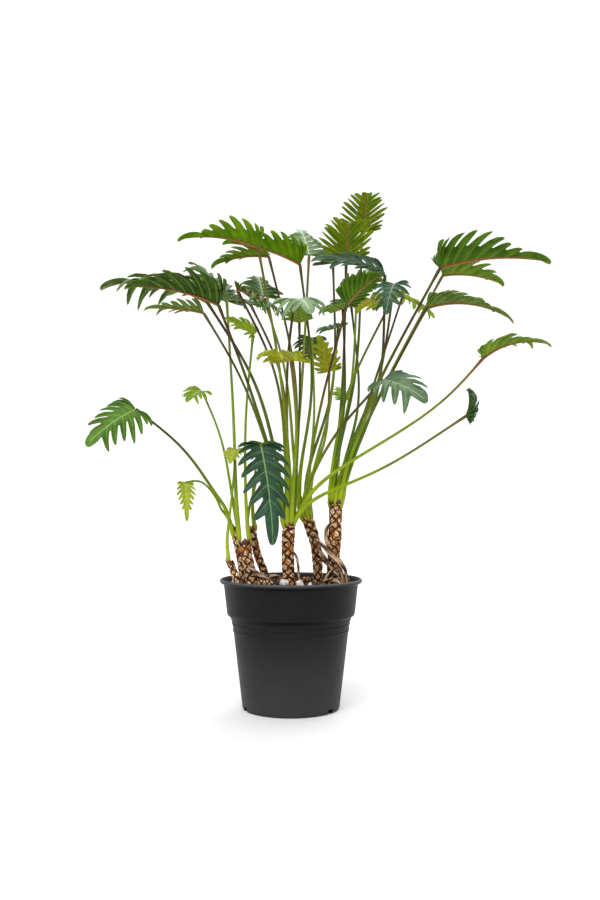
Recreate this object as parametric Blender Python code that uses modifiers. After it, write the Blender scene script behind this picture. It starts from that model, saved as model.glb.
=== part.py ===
"""Potted philodendron: a pot, soil, stems, roots, stones and leaves, each one closed solid.

A leaf is one node, because stalk and blade grow as one piece. Metres, +Z up, base at z = 0.
"""

import math

import bmesh
import bpy
from mathutils import Matrix, Vector
from mathutils.kdtree import KDTree

# Overall sizes
POT_WIDTH = 0.240
POT_HEIGHT = 0.2185
PLANT_HEIGHT = 0.880
PLANT_SPREAD = 1.0

# Pot and soil
WALL = 0.0016
LIP_DEPTH = 0.0093
SOIL_DROP = 0.0095
SOCKET_DEPTH = 0.022
DRAIN_HOLES = 3
DRAIN_WIDTH = 0.014
DRAIN_TURN = -37.0

# Plant
GAP = 0.0004
LEAF_THICKNESS = 0.0010
STALK_FOOT = 0.0026
STALK_NECK = 0.0017
STEM_THICKNESS = 1.0

POT_STEPS = 32
SPREAD_RISE = 0.180
TABLE_TOP = 0.880
TABLE_SOIL = 0.209
SOIL_TOP = POT_HEIGHT - SOIL_DROP
RISE = (PLANT_HEIGHT - SOIL_TOP) / (TABLE_TOP - TABLE_SOIL)
WIDE = POT_WIDTH / 0.240

# Stems: letter, foot, middle and top positions, radius at the foot and at the top
STEMS = (
    ("a", (-0.084, -0.046, 0.209), (-0.092, -0.045, 0.229), (-0.101, -0.042, 0.250), 0.006, 0.006),
    ("b", (-0.080, 0.020, 0.209), (-0.087, 0.020, 0.257), (-0.097, 0.020, 0.300), 0.007, 0.008),
    ("c", (-0.064, -0.017, 0.209), (-0.073, -0.016, 0.255), (-0.078, -0.015, 0.283), 0.010, 0.009),
    ("d", (-0.040, 0.040, 0.209), (-0.059, 0.037, 0.259), (-0.069, 0.033, 0.304), 0.007, 0.007),
    ("e", (-0.003, -0.030, 0.209), (-0.005, -0.030, 0.265), (-0.003, -0.030, 0.315), 0.010, 0.0105),
    ("f", (0.046, 0.032, 0.209), (0.043, 0.031, 0.268), (0.025, 0.030, 0.327), 0.008, 0.0100),
    ("g", (0.069, 0.000, 0.209), (0.074, 0.000, 0.290), (0.076, 0.000, 0.350), 0.010, 0.0115),
)

# Roots and creeping stems: name, thickness radius, points
ROOTS = (
    ("root_1", 0.0034, ((0.0600, -0.014, 0.303), (0.0590, -0.017, 0.284), (0.068, -0.020, 0.266),
                        (0.083, -0.023, 0.247), (0.092, -0.024, 0.230), (0.093, -0.024, 0.190))),
    ("root_2", 0.0030, ((0.0430, 0.014, 0.284), (0.050, -0.012, 0.279), (0.064, -0.030, 0.264),
                        (0.078, -0.034, 0.246), (0.085, -0.035, 0.229), (0.086, -0.035, 0.190))),
    ("root_3", 0.0022, ((0.0090, -0.038, 0.258), (0.0125, -0.042, 0.238), (0.0120, -0.042, 0.190))),
    ("runner_1", 0.0048, ((-0.058, -0.060, 0.2145), (-0.043, -0.062, 0.2165), (-0.028, -0.058, 0.2145))),
    ("runner_2", 0.0045, ((0.014, 0.000, 0.2142), (0.024, 0.004, 0.2165), (0.033, 0.013, 0.2145))),
)

# Stones: centre position and half sizes
STONES = (
    ("stone_1", (-0.012, -0.062), (0.0085, 0.0075, 0.0065)),
    ("stone_2", (0.014, -0.064), (0.0070, 0.0065, 0.0060)),
    ("stone_3", (0.032, -0.058), (0.0040, 0.0040, 0.0042)),
    ("stone_4", (-0.094, -0.024), (0.0050, 0.0055, 0.0045)),
)

# Leaves: number, stem, joint, point that the stalk passes, tip, width, arch, roll, fold, lobes
LEAVES = (
    (1, "e", (-0.120, -0.030, 0.675), (-0.068, -0.030, 0.537), (-0.272, -0.060, 0.699), 0.125, 30, 0, 52, 7),
    (2, "e", (-0.138, -0.100, 0.650), (-0.076, -0.065, 0.542), (-0.228, -0.140, 0.650), 0.060, 20, 15, 42, 5),
    (3, "e", (-0.148, 0.062, 0.697), (-0.058, 0.010, 0.546), (-0.337, 0.070, 0.726), 0.140, 40, 10, 28, 7),
    (4, "c", (-0.120, 0.160, 0.715), (-0.100, 0.050, 0.489), (-0.196, 0.240, 0.805), 0.105, 30, 10, 15, 5),
    (5, "e", (-0.055, -0.010, 0.774), (-0.017, -0.020, 0.560), (-0.189, -0.030, 0.783), 0.093, 40, 10, 42, 6),
    (6, "f", (-0.042, 0.150, 0.795), (0.008, 0.100, 0.572), (-0.150, 0.170, 0.780), 0.090, 35, 10, 36, 5),
    (7, "f", (0.015, 0.080, 0.766), (0.038, 0.055, 0.550), (-0.121, 0.060, 0.799), 0.094, 30, 10, 42, 6),
    (8, "e", (0.032, 0.150, 0.798), (0.019, 0.060, 0.560), (0.015, 0.210, 0.863), 0.100, 20, 0, 5, 5),
    (9, "e", (-0.086, -0.090, 0.690), (-0.021, -0.060, 0.551), (-0.006, -0.150, 0.633), 0.070, 35, -20, 15, 5),
    (10, "e", (-0.071, 0.050, 0.690), (-0.014, 0.020, 0.559), (-0.126, 0.130, 0.714), 0.080, 25, 10, 15, 5),
    (11, "f", (-0.055, 0.190, 0.730), (-0.010, 0.120, 0.580), (-0.070, 0.270, 0.785), 0.085, 25, 10, 10, 5),
    (12, "e", (0.014, 0.000, 0.650), (0.015, 0.000, 0.520), (0.009, -0.075, 0.671), 0.060, 30, 0, 8, 5),
    (13, "e", (0.007, -0.140, 0.664), (-0.006, -0.090, 0.561), (0.031, -0.208, 0.634), 0.085, 50, 5, 5, 5),
    (14, "c", (-0.064, 0.000, 0.630), (-0.077, 0.000, 0.487), (-0.112, -0.005, 0.658), 0.060, 25, 15, 20, 5),
    (15, "e", (0.001, -0.120, 0.572), (0.010, -0.070, 0.466), (-0.036, -0.180, 0.581), 0.080, 30, 0, 8, 5),
    (16, "g", (0.127, 0.120, 0.833), (0.115, 0.070, 0.578), (0.133, 0.040, 0.883), 0.088, 35, 0, 22, 7),
    (17, "g", (0.096, 0.060, 0.766), (0.089, 0.035, 0.549), (0.096, -0.010, 0.818), 0.105, 35, 0, 32, 7),
    (18, "g", (0.158, -0.175, 0.682), (0.141, -0.085, 0.538), (0.142, -0.220, 0.630), 0.055, 30, 0, 15, 5),
    (19, "f", (0.089, -0.120, 0.660), (0.049, -0.060, 0.507), (0.142, -0.145, 0.702), 0.072, 40, -30, 30, 6),
    (20, "g", (0.172, 0.030, 0.692), (0.094, 0.020, 0.530), (0.102, -0.050, 0.675), 0.080, 25, 20, 8, 5),
    (21, "g", (0.252, 0.000, 0.743), (0.150, 0.000, 0.554), (0.444, 0.020, 0.757), 0.122, 30, -8, 46, 8),
    (22, "g", (0.270, 0.095, 0.750), (0.168, 0.055, 0.562), (0.383, 0.115, 0.736), 0.090, 35, -8, 44, 5),
    (23, "g", (0.220, -0.080, 0.663), (0.152, -0.040, 0.533), (0.355, -0.110, 0.634), 0.078, 55, 0, 34, 6),
    (24, "g", (0.202, 0.140, 0.719), (0.145, 0.070, 0.553), (0.265, 0.165, 0.686), 0.070, 30, 10, 10, 5),
    (25, "e", (0.317, -0.050, 0.586), (0.235, -0.056, 0.500), (0.424, -0.070, 0.603), 0.080, 60, -5, 30, 5),
    (26, "e", (0.276, -0.120, 0.485), (0.151, -0.090, 0.404), (0.277, -0.130, 0.527), 0.070, 45, -110, 35, 5),
    (27, "f", (0.142, -0.170, 0.537), (0.071, -0.090, 0.457), (0.202, -0.225, 0.500), 0.085, 35, 30, 8, 5),
    (28, "f", (0.066, 0.050, 0.574), (0.060, 0.040, 0.454), (0.046, 0.012, 0.632), 0.052, 20, 20, 12, 4),
    (29, "f", (0.084, 0.120, 0.661), (0.068, 0.080, 0.509), (0.047, 0.070, 0.650), 0.055, 25, 10, 10, 4),
    (30, "g", (0.088, 0.010, 0.675), (0.092, 0.015, 0.523), (0.051, -0.050, 0.667), 0.060, 30, 10, 10, 5),
    (31, "f", (0.038, 0.200, 0.653), (0.041, 0.105, 0.488), (0.027, 0.260, 0.614), 0.065, 30, 0, 10, 5),
    (32, "b", (-0.259, -0.020, 0.503), (-0.178, -0.010, 0.435), (-0.332, -0.070, 0.441), 0.095, 30, -40, 8, 6),
    (33, "b", (-0.155, 0.050, 0.539), (-0.119, 0.030, 0.453), (-0.177, 0.000, 0.518), 0.045, 40, -20, 20, 4),
    (34, "b", (-0.173, -0.050, 0.380), (-0.146, -0.030, 0.383), (-0.168, -0.070, 0.318), 0.032, 20, 0, 15, 5),
    (35, "a", (-0.092, -0.020, 0.436), (-0.098, -0.025, 0.359), (-0.100, -0.050, 0.412), 0.035, 30, 0, 10, 4),
    (36, "d", (-0.047, -0.100, 0.439), (-0.060, -0.050, 0.388), (-0.026, -0.150, 0.284), 0.088, 25, 0, 8, 7),
    (37, "d", (-0.050, 0.040, 0.449), (-0.059, 0.030, 0.385), (-0.038, 0.100, 0.403), 0.060, 30, 0, 8, 5),
    (38, "g", (0.096, 0.200, 0.536), (0.087, 0.110, 0.438), (0.086, 0.230, 0.565), 0.035, 20, 0, 10, 4),
    (39, "f", (0.078, 0.220, 0.798), (0.078, 0.160, 0.560), (0.104, 0.300, 0.861), 0.090, 25, 0, 8, 5),
    (40, "g", (0.120, 0.160, 0.736), (0.108, 0.100, 0.555), (0.155, 0.260, 0.797), 0.090, 25, 0, 8, 5),
    (41, "g", (0.114, 0.250, 0.724), (0.125, 0.150, 0.533), (0.130, 0.370, 0.755), 0.090, 25, 0, 8, 5),
    (42, "g", (0.152, -0.080, 0.715), (0.146, -0.050, 0.536), (0.033, -0.100, 0.736), 0.095, 30, -32, 22, 6),
)

PARTS = "potted_philodendron"
CUTTERS = "cutters"


def placed(point):
    """A table position at the chosen overall sizes.

    The spread grows with height, so the stems' feet stay inside the pot.
    """
    x, y, z = point
    top = TABLE_SOIL + (z - TABLE_SOIL) * RISE + SOIL_TOP - TABLE_SOIL
    share = min(max((z - TABLE_SOIL) / SPREAD_RISE, 0.0), 1.0)
    wide = WIDE * (1 + (PLANT_SPREAD - 1) * share)
    return Vector((x * wide, y * wide, top))


def material(name, colour, roughness):
    """A plain material."""
    found = bpy.data.materials.new(name)
    found.use_nodes = True
    shader = found.node_tree.nodes["Principled BSDF"]
    shader.inputs["Base Color"].default_value = (*colour, 1.0)
    shader.inputs["Roughness"].default_value = roughness
    shader.inputs["Metallic"].default_value = 0.0
    return found


def add_node(name, mesh, dress, cutter=False):
    """An object of this mesh in its collection."""
    obj = bpy.data.objects.new(name, mesh)
    bpy.data.collections[CUTTERS if cutter else PARTS].objects.link(obj)
    if dress is not None:
        mesh.materials.clear()
        mesh.materials.append(dress)
    if cutter:
        obj.hide_render = True
        obj.display_type = "WIRE"
    return obj


def spun(name, profile, dress):
    """A turned solid from radius and height pairs."""
    mesh = bpy.data.meshes.new(name)
    bm = bmesh.new()
    corners = [bm.verts.new((r, 0.0, z)) for r, z in profile]
    for first, second in zip(corners, corners[1:]):
        bm.edges.new((first, second))
    bm.to_mesh(mesh)
    bm.free()
    obj = add_node(name, mesh, dress)
    turn = obj.modifiers.new("turn", "SCREW")
    turn.steps = POT_STEPS
    turn.render_steps = POT_STEPS
    turn.use_merge_vertices = True
    turn.merge_threshold = 0.00005
    return obj


def tube_mesh(name, points, radii):
    """A closed tapering tube through the points."""
    curve = bpy.data.curves.new(name, "CURVE")
    curve.dimensions = "3D"
    curve.bevel_depth = 1.0
    curve.bevel_resolution = 1
    curve.use_fill_caps = True
    line = curve.splines.new("POLY")
    line.points.add(len(points) - 1)
    for knot, point, radius in zip(line.points, points, radii):
        knot.co = (*point, 1.0)
        knot.radius = radius
    maker = bpy.data.objects.new(name + "_line", curve)
    bpy.data.collections[CUTTERS].objects.link(maker)
    graph = bpy.context.evaluated_depsgraph_get()
    mesh = bpy.data.meshes.new_from_object(maker.evaluated_get(graph))
    bpy.data.objects.remove(maker)
    bm = bmesh.new()
    bm.from_mesh(mesh)
    bmesh.ops.remove_doubles(bm, verts=bm.verts, dist=0.00002)
    bmesh.ops.recalc_face_normals(bm, faces=bm.faces)
    bm.to_mesh(mesh)
    bm.free()
    return mesh


def pot_outer():
    """The outer outline of the pot, from the lip down to the base."""
    r = POT_WIDTH / 2
    h = POT_HEIGHT
    low = h - LIP_DEPTH
    shape = ((0.0035, 0), (0.0012, 0), (0.0, 0.0018), (0.0, LIP_DEPTH - 0.0014), (0.0010, LIP_DEPTH))
    lip = [(r - back, h - drop) for back, drop in shape]
    body = ((0.944, low), (0.900, 0.740 * h), (0.888, 0.722 * h), (0.850, 0.708 * h), (0.8245, 0.652 * h),
            (0.8190, 0.648 * h), (0.8180, 0.642 * h), (0.8120, 0.608 * h), (0.8060, 0.603 * h),
            (0.8040, 0.597 * h), (0.6850, 0.020 * h), (0.6700, 0.0))
    return lip + [(r * share, z) for share, z in body]


def inner_wall():
    """The inner outline of the pot below its lip, from the top down to the floor."""
    r = POT_WIDTH / 2
    h = POT_HEIGHT
    return [
        (r * 0.944 - WALL, h - LIP_DEPTH - 0.001),
        (r * 0.898 - WALL, 0.740 * h),
        (r * 0.838 - WALL, 0.706 * h),
        (r * 0.804 - WALL, 0.597 * h),
        (r * 0.686 - WALL, 0.026 * h),
        (r * 0.660 - WALL, WALL),
    ]


def build_pot(dress):
    """The turned pot with its rolled lip, its two rings and its edge drain holes."""
    r = POT_WIDTH / 2
    inner = [(r - 0.0045, POT_HEIGHT - 0.0012), (r - 0.0052, POT_HEIGHT - 0.004)] + inner_wall()
    profile = [(0.0, WALL)] + inner[::-1] + pot_outer() + [(0.0, 0.0)]
    pot = spun("pot", profile, dress)
    for number in range(DRAIN_HOLES):
        angle = math.radians(DRAIN_TURN + 360.0 / DRAIN_HOLES * number)
        at = Vector((math.cos(angle), math.sin(angle), 0.0)) * r * 0.672
        bm = bmesh.new()
        shift = Matrix.Translation((at.x, at.y, 0.0))
        half = DRAIN_WIDTH / 2
        bmesh.ops.create_cone(
            bm, cap_ends=True, segments=12, radius1=half, radius2=half, depth=0.016, matrix=shift
        )
        mesh = bpy.data.meshes.new("drain")
        bm.to_mesh(mesh)
        bm.free()
        subtract(pot, add_node(f"drain_{number + 1}", mesh, None, True))


def subtract(obj, cutter):
    """Cut the cutter out of the object."""
    cut = obj.modifiers.new(cutter.name, "BOOLEAN")
    cut.operation = "DIFFERENCE"
    cut.solver = "EXACT"
    cut.object = cutter


def build_soil(dress):
    """The soil that fills the pot, with a socket for each stem and root."""
    wall = [(r - GAP, max(z, WALL + GAP)) for r, z in inner_wall()]
    (r1, z1), (r2, z2) = wall[0], wall[1]
    rim = r1 if SOIL_TOP >= z1 else r2 + (r1 - r2) * (SOIL_TOP - z2) / (z1 - z2)
    wall[0] = (rim, SOIL_TOP)
    soil = spun("soil", [(0.0, SOIL_TOP)] + wall + [(0.0, WALL + GAP)], dress)
    for letter, foot, middle, _, radius, _ in STEMS:
        points = (stem_root(foot, middle, GAP), lifted(foot, middle, 0.25))
        radii = [radius * STEM_THICKNESS + GAP] * 2
        mesh = tube_mesh(f"socket_{letter}", points, radii)
        subtract(soil, add_node(f"socket_{letter}", mesh, None, True))
    for name, radius, points in ROOTS:
        if points[-1][2] < TABLE_SOIL:
            low = placed(points[-1]) - Vector((0, 0, GAP))
            mesh = tube_mesh(f"socket_{name}", (low, placed(points[-2])), [radius + GAP] * 2)
            subtract(soil, add_node(f"socket_{name}", mesh, None, True))


def lifted(low, high, share):
    """A point between two table positions."""
    return placed(low).lerp(placed(high), share)


def stem_root(foot, middle, extra=0.0):
    """The buried end of a stem, straight on below its foot."""
    start = placed(foot)
    along = (placed(middle) - start).normalized()
    return start - along * (SOCKET_DEPTH + extra) / along.z


def build_stems(dress):
    """The upright stems that carry the leaves."""
    for letter, foot, middle, top, low, high in STEMS:
        ends = (stem_root(foot, middle), placed(foot), placed(middle), placed(top))
        radii = [value * STEM_THICKNESS for value in (low, low, (low + high) / 2, high)]
        add_node(f"stem_{letter}", tube_mesh(f"stem_{letter}", ends, radii), dress)


def build_roots(dress):
    """The bare roots that reach the soil, and the two creeping stems on it."""
    for name, radius, points in ROOTS:
        line = smooth([placed(point) for point in points], 3)
        if points[-1][2] < TABLE_SOIL:
            line = line[:-3] + line[-1:]
        radii = [radius] * len(line)
        add_node(name, tube_mesh(name, line, radii), dress)


def build_stones(dress):
    """The pale stones that lie on the soil."""
    for name, (x, y), (half_x, half_y, half_z) in STONES:
        bm = bmesh.new()
        bmesh.ops.create_icosphere(bm, subdivisions=1, radius=1.0)
        lowest = min(corner.co.z for corner in bm.verts)
        at = Vector((x * WIDE, y * WIDE, SOIL_TOP + GAP - lowest * half_z))
        for corner in bm.verts:
            corner.co = at + Vector((corner.co.x * half_x, corner.co.y * half_y, corner.co.z * half_z))
        mesh = bpy.data.meshes.new(name)
        bm.to_mesh(mesh)
        bm.free()
        add_node(name, mesh, dress)


def smooth(points, parts):
    """A Catmull-Rom line through the points, with the given parts in each span."""
    ends = [points[0] * 2 - points[1], *points, points[-1] * 2 - points[-2]]
    line = []
    for a, b, c, d in zip(ends, ends[1:], ends[2:], ends[3:]):
        for number in range(parts):
            t = number / parts
            line.append(0.5 * (2 * b + (c - a) * t + (2 * a - 5 * b + 4 * c - d) * t * t
                               + (3 * b - a - 3 * c + d) * t**3))
    return line + [points[-1]]


def evenly(line, count):
    """The line resampled to count points at even spacing."""
    reach = [0.0]
    for first, second in zip(line, line[1:]):
        reach.append(reach[-1] + (second - first).length)
    found = []
    spot = 0
    for number in range(count):
        want = reach[-1] * number / (count - 1)
        while spot < len(line) - 2 and reach[spot + 1] < want:
            spot += 1
        share = (want - reach[spot]) / max(reach[spot + 1] - reach[spot], 1e-9)
        found.append(line[spot].lerp(line[spot + 1], min(share, 1.0)))
    return found


def crown_slots(count, radius):
    """Places for stalks on a stem's end: one or none in the middle and the rest in rings."""
    if count == 1:
        return [(0.0, 0.0)]
    pitch = 2 * STALK_FOOT + GAP
    rings = []
    left = count
    ring = max(radius - STALK_FOOT * 0.4, pitch / 2)
    while left > 0:
        room = 1 if ring < pitch / 2 else max(int(math.pi / math.asin(min(pitch / 2 / ring, 1.0))), 2)
        taken = min(left, room)
        rings += [(ring, 2 * math.pi * number / taken) for number in range(taken)]
        left -= taken
        ring = max(ring - pitch, 0.0)
    return rings


def stalk_lines():
    """Every leaf's stalk line from its stem to its joint, jostled apart where they would touch."""
    lines = {}
    for letter, _, middle, top, _, radius in STEMS:
        crown = placed(top)
        up = (crown - placed(middle)).normalized()
        mine = [leaf for leaf in LEAVES if leaf[1] == letter]
        slots = crown_slots(len(mine), radius * STEM_THICKNESS)
        free = list(range(len(slots)))
        mine.sort(key=lambda leaf: -(placed(leaf[3]) - crown).to_2d().length)
        for leaf in mine:
            lean = (placed(leaf[3]) - crown).to_2d()
            best = max(free, key=lambda spot: slot_offset(slots[spot]).dot(lean))
            free.remove(best)
            offset = slot_offset(slots[best])
            foot = crown + Vector((offset.x, offset.y, 0.0)) + up * (GAP + abs(up.x) * radius)
            via = placed(leaf[3])
            aim = (up * (via - foot).length + via - foot).normalized()
            foot += up * STALK_FOOT * (aim - up * aim.dot(up)).length
            rise = foot + up * (via - foot).length * 0.12 + (via - foot) * 0.12
            lines[leaf[0]] = evenly(smooth([foot, rise, via, placed(leaf[2])], 8), 60)
    return jostled(lines)


def slot_offset(slot):
    """A slot's place across the stem's end."""
    ring, turn = slot
    return Vector((ring * math.cos(turn), ring * math.sin(turn)))


def stalk_radius(share):
    """The stalk's radius at a share of its length."""
    return STALK_FOOT + (STALK_NECK - STALK_FOOT) * min(share * 1.4, 1.0)


def jostled(lines):
    """The lines moved apart until no two stalks touch, with both ends kept."""
    names = sorted(lines)
    for _ in range(140):
        tree = KDTree(sum(len(lines[name]) for name in names))
        owners = []
        for name in names:
            for spot, point in enumerate(lines[name]):
                tree.insert(point, len(owners))
                owners.append((name, spot))
        tree.balance()
        moves = {}
        for index, (name, spot) in enumerate(owners):
            if 0 < spot < 59:
                push = stalk_push(tree, owners, lines, index)
                if push is not None:
                    moves[(name, spot)] = push
        if not moves:
            break
        for (name, spot), push in moves.items():
            lines[name][spot] = lines[name][spot] + push
        for name in names:
            relax(lines[name])
    return lines


def stalk_push(tree, owners, lines, index):
    """How far one point of a stalk is pushed by its neighbours, or None."""
    name, spot = owners[index]
    here = lines[name][spot]
    push = Vector()
    for point, other, gap in tree.find_range(here, 0.0105):
        rival, place = owners[other]
        if rival == name:
            continue
        want = stalk_radius(spot / 59) + stalk_radius(place / 59) + 0.0024
        if gap < want:
            away = (here - point) if gap > 1e-6 else Vector((0.0, 1.0 if name > rival else -1.0, 0.0))
            push += away.normalized() * (want - gap) * 0.5
    return push if push.length > 1e-6 else None


def relax(line):
    """Smooth a stalk line a little, with its ends kept."""
    old = list(line)
    for spot in range(1, len(line) - 1):
        middle = (old[spot - 1] + old[spot + 1]) / 2
        line[spot] = old[spot].lerp(middle, 0.25)


def blade_outline(lobes):
    """Columns of a half blade: origin share, angle and reach of each point, from base to tip."""
    columns = []
    total = 2 * lobes
    for number in range(total + 1):
        u = number / total
        origin = 0.80 * max(0.0, (u - 0.22) / 0.78) ** 1.15
        angle = math.radians(122.0 - 98.0 * u**0.8) if number < total else 0.0
        full = 0.52 + 0.50 * math.sin(math.pi * min(u * 1.2 + 0.10, 0.85))
        reach = full if number % 2 == 0 else full * (0.50 if u < 0.8 else 0.60)
        columns.append((origin, angle, reach if number < total else 0.0))
    return columns


def blade_mesh(leaf):
    """The blade as a bent and folded lobed sheet, midrib to margin, on both sides."""
    number, _, joint, _, tip, width, arch, roll, fold, lobes = leaf
    base = placed(joint)
    chord = placed(tip) - base
    along = chord.normalized()
    up = Vector((0, 0, 1)) - along * along.z
    normal = Matrix.Rotation(math.radians(roll), 3, along) @ up.normalized()
    across = normal.cross(along)
    bend = math.radians(arch)
    length = chord.length * (bend / 2) / math.sin(bend / 2)
    columns = blade_outline(lobes)
    scale = width / 2 / max(reach * math.sin(angle) for _, angle, reach in columns)
    bm = bmesh.new()
    grid = bmesh.ops.create_grid(bm, x_segments=len(columns) - 1, y_segments=2, size=1.0)["verts"]
    for corner in grid:
        origin, angle, reach = columns[round((corner.co.x + 1) / 2 * (len(columns) - 1))]
        side = corner.co.y
        x = length * (origin if reach else (1.0 if abs(side) > 0.5 else 0.88))
        x += abs(side) * reach * scale * math.cos(angle) * (1.0 if math.cos(angle) > 0 else 0.8)
        y = side * reach * scale * math.sin(angle)
        turn = bend / 2 - bend * x / length
        radius = length / bend
        forward = radius * (math.sin(bend / 2) - math.sin(turn))
        lift = radius * (math.cos(turn) - math.cos(bend / 2))
        out = math.radians(fold)
        here = along * math.sin(-turn) * -1.0
        rise = normal * math.cos(turn) - here
        flat = base + along * forward + normal * lift
        corner.co = flat + across * y * math.cos(out) + rise * abs(y) * math.sin(out)
    bmesh.ops.remove_doubles(bm, verts=bm.verts, dist=0.0002)
    bmesh.ops.recalc_face_normals(bm, faces=bm.faces)
    mesh = bpy.data.meshes.new(f"leaf_{number:02d}")
    bm.to_mesh(mesh)
    bm.free()
    return mesh


def build_leaves(dress):
    """Each leaf as one solid: its blade joined with its stalk."""
    lines = stalk_lines()
    for leaf in LEAVES:
        name = f"leaf_{leaf[0]:02d}"
        blade = add_node(name, blade_mesh(leaf), dress)
        sheet = blade.modifiers.new("thickness", "SOLIDIFY")
        sheet.thickness = LEAF_THICKNESS
        sheet.offset = 0.0
        sheet.use_even_offset = False
        line = evenly(lines[leaf[0]], 8)
        line[-1] = line[-1] + (line[-1] - line[-2]).normalized() * 0.0015
        radii = [stalk_radius(spot / 7) for spot in range(8)]
        stalk = add_node(f"{name}_stalk", tube_mesh(f"{name}_stalk", line, radii), dress, True)
        join = blade.modifiers.new("stalk", "BOOLEAN")
        join.operation = "UNION"
        join.solver = "EXACT"
        join.object = stalk


def main():
    """Build every node."""
    for obj in list(bpy.data.objects):
        bpy.data.objects.remove(obj)
    for name in (PARTS, CUTTERS):
        bpy.context.scene.collection.children.link(bpy.data.collections.new(name))
    build_pot(material("pot", (0.020, 0.020, 0.022), 0.45))
    build_soil(material("soil", (0.055, 0.026, 0.016), 0.95))
    build_stones(material("stones", (0.62, 0.60, 0.55), 0.8))
    bark = material("bark", (0.16, 0.085, 0.045), 0.8)
    build_stems(bark)
    build_roots(bark)
    build_leaves(material("leaf", (0.075, 0.20, 0.035), 0.4))


main()
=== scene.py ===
"""Looks of a potted philodendron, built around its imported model."""

import logging
import math
import random
from collections.abc import Callable, Sequence
from dataclasses import dataclass, field
from enum import Enum

import bmesh
import bpy
from mathutils import Matrix, Vector, noise
from mathutils.kdtree import KDTree


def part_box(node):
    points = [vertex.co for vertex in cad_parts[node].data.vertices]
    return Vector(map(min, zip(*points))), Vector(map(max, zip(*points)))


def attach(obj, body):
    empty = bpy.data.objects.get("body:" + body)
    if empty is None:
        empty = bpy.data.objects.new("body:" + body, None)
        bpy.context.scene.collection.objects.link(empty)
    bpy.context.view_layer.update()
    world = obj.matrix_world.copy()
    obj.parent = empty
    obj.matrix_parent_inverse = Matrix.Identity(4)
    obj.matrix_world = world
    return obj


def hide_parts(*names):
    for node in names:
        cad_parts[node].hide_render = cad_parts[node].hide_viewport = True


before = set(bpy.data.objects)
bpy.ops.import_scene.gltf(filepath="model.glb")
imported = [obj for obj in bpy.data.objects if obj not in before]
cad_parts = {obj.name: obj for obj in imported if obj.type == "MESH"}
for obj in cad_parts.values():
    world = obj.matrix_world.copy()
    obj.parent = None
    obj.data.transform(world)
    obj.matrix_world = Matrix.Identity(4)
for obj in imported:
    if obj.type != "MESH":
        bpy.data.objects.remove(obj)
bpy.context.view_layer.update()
LOG = logging.getLogger("philodendron")

Point = tuple[float, float, float]
Colour = tuple[float, float, float]
Stops = tuple[tuple[float, Colour], ...]
Place = Callable[[float, float], Vector]
Spot = Callable[[float, float], tuple[float, float]]

TURN = 2 * math.pi
WELD = 0.000004

# The solid model's own stalk sizes, in metres
STALK_POINTS = 60
STALK_FOOT = 0.0026
STALK_NECK = 0.0017
GAP = 0.0004


class Tone(Enum):
    """The green of a leaf, by its age and its place in the light."""

    DEEP = "deep"
    VIVID = "vivid"
    MEADOW = "meadow"
    BLUE = "blue"
    PALE = "pale"
    SAGE = "sage"
    FRESH = "fresh"
    GOLD = "gold"
    LIME = "lime"
    SOFT = "soft"
    NIGHT = "night"
    LUSH = "lush"


class Flush(Enum):
    """How a stalk is coloured towards its blade."""

    GREEN = "green"
    OLIVE = "olive"
    PURPLE = "purple"
    RED = "red"
    SHADE = "shade"


@dataclass(frozen=True)
class Leaf:
    """Where one leaf grows and how its blade lies.

    The places are the solid leaf's own: its stem, its joint with the blade, a point that its stalk
    passes and its tip, then its width in metres and its arch, roll and fold in degrees. Its looks are
    its tone, its stalk's flush, its lobes a side, how far their ends droop, how deep they are cut,
    how narrow the blade grows toward its tip and its first lobes' angle to the midrib, in degrees.
    """

    number: int
    stem: str
    joint: Point
    via: Point
    tip: Point
    width: float
    arch: float
    roll: float
    fold: float
    tone: Tone
    flush: Flush
    lobes: int
    droop: float
    cut: float
    slim: float
    splay: float


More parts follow.
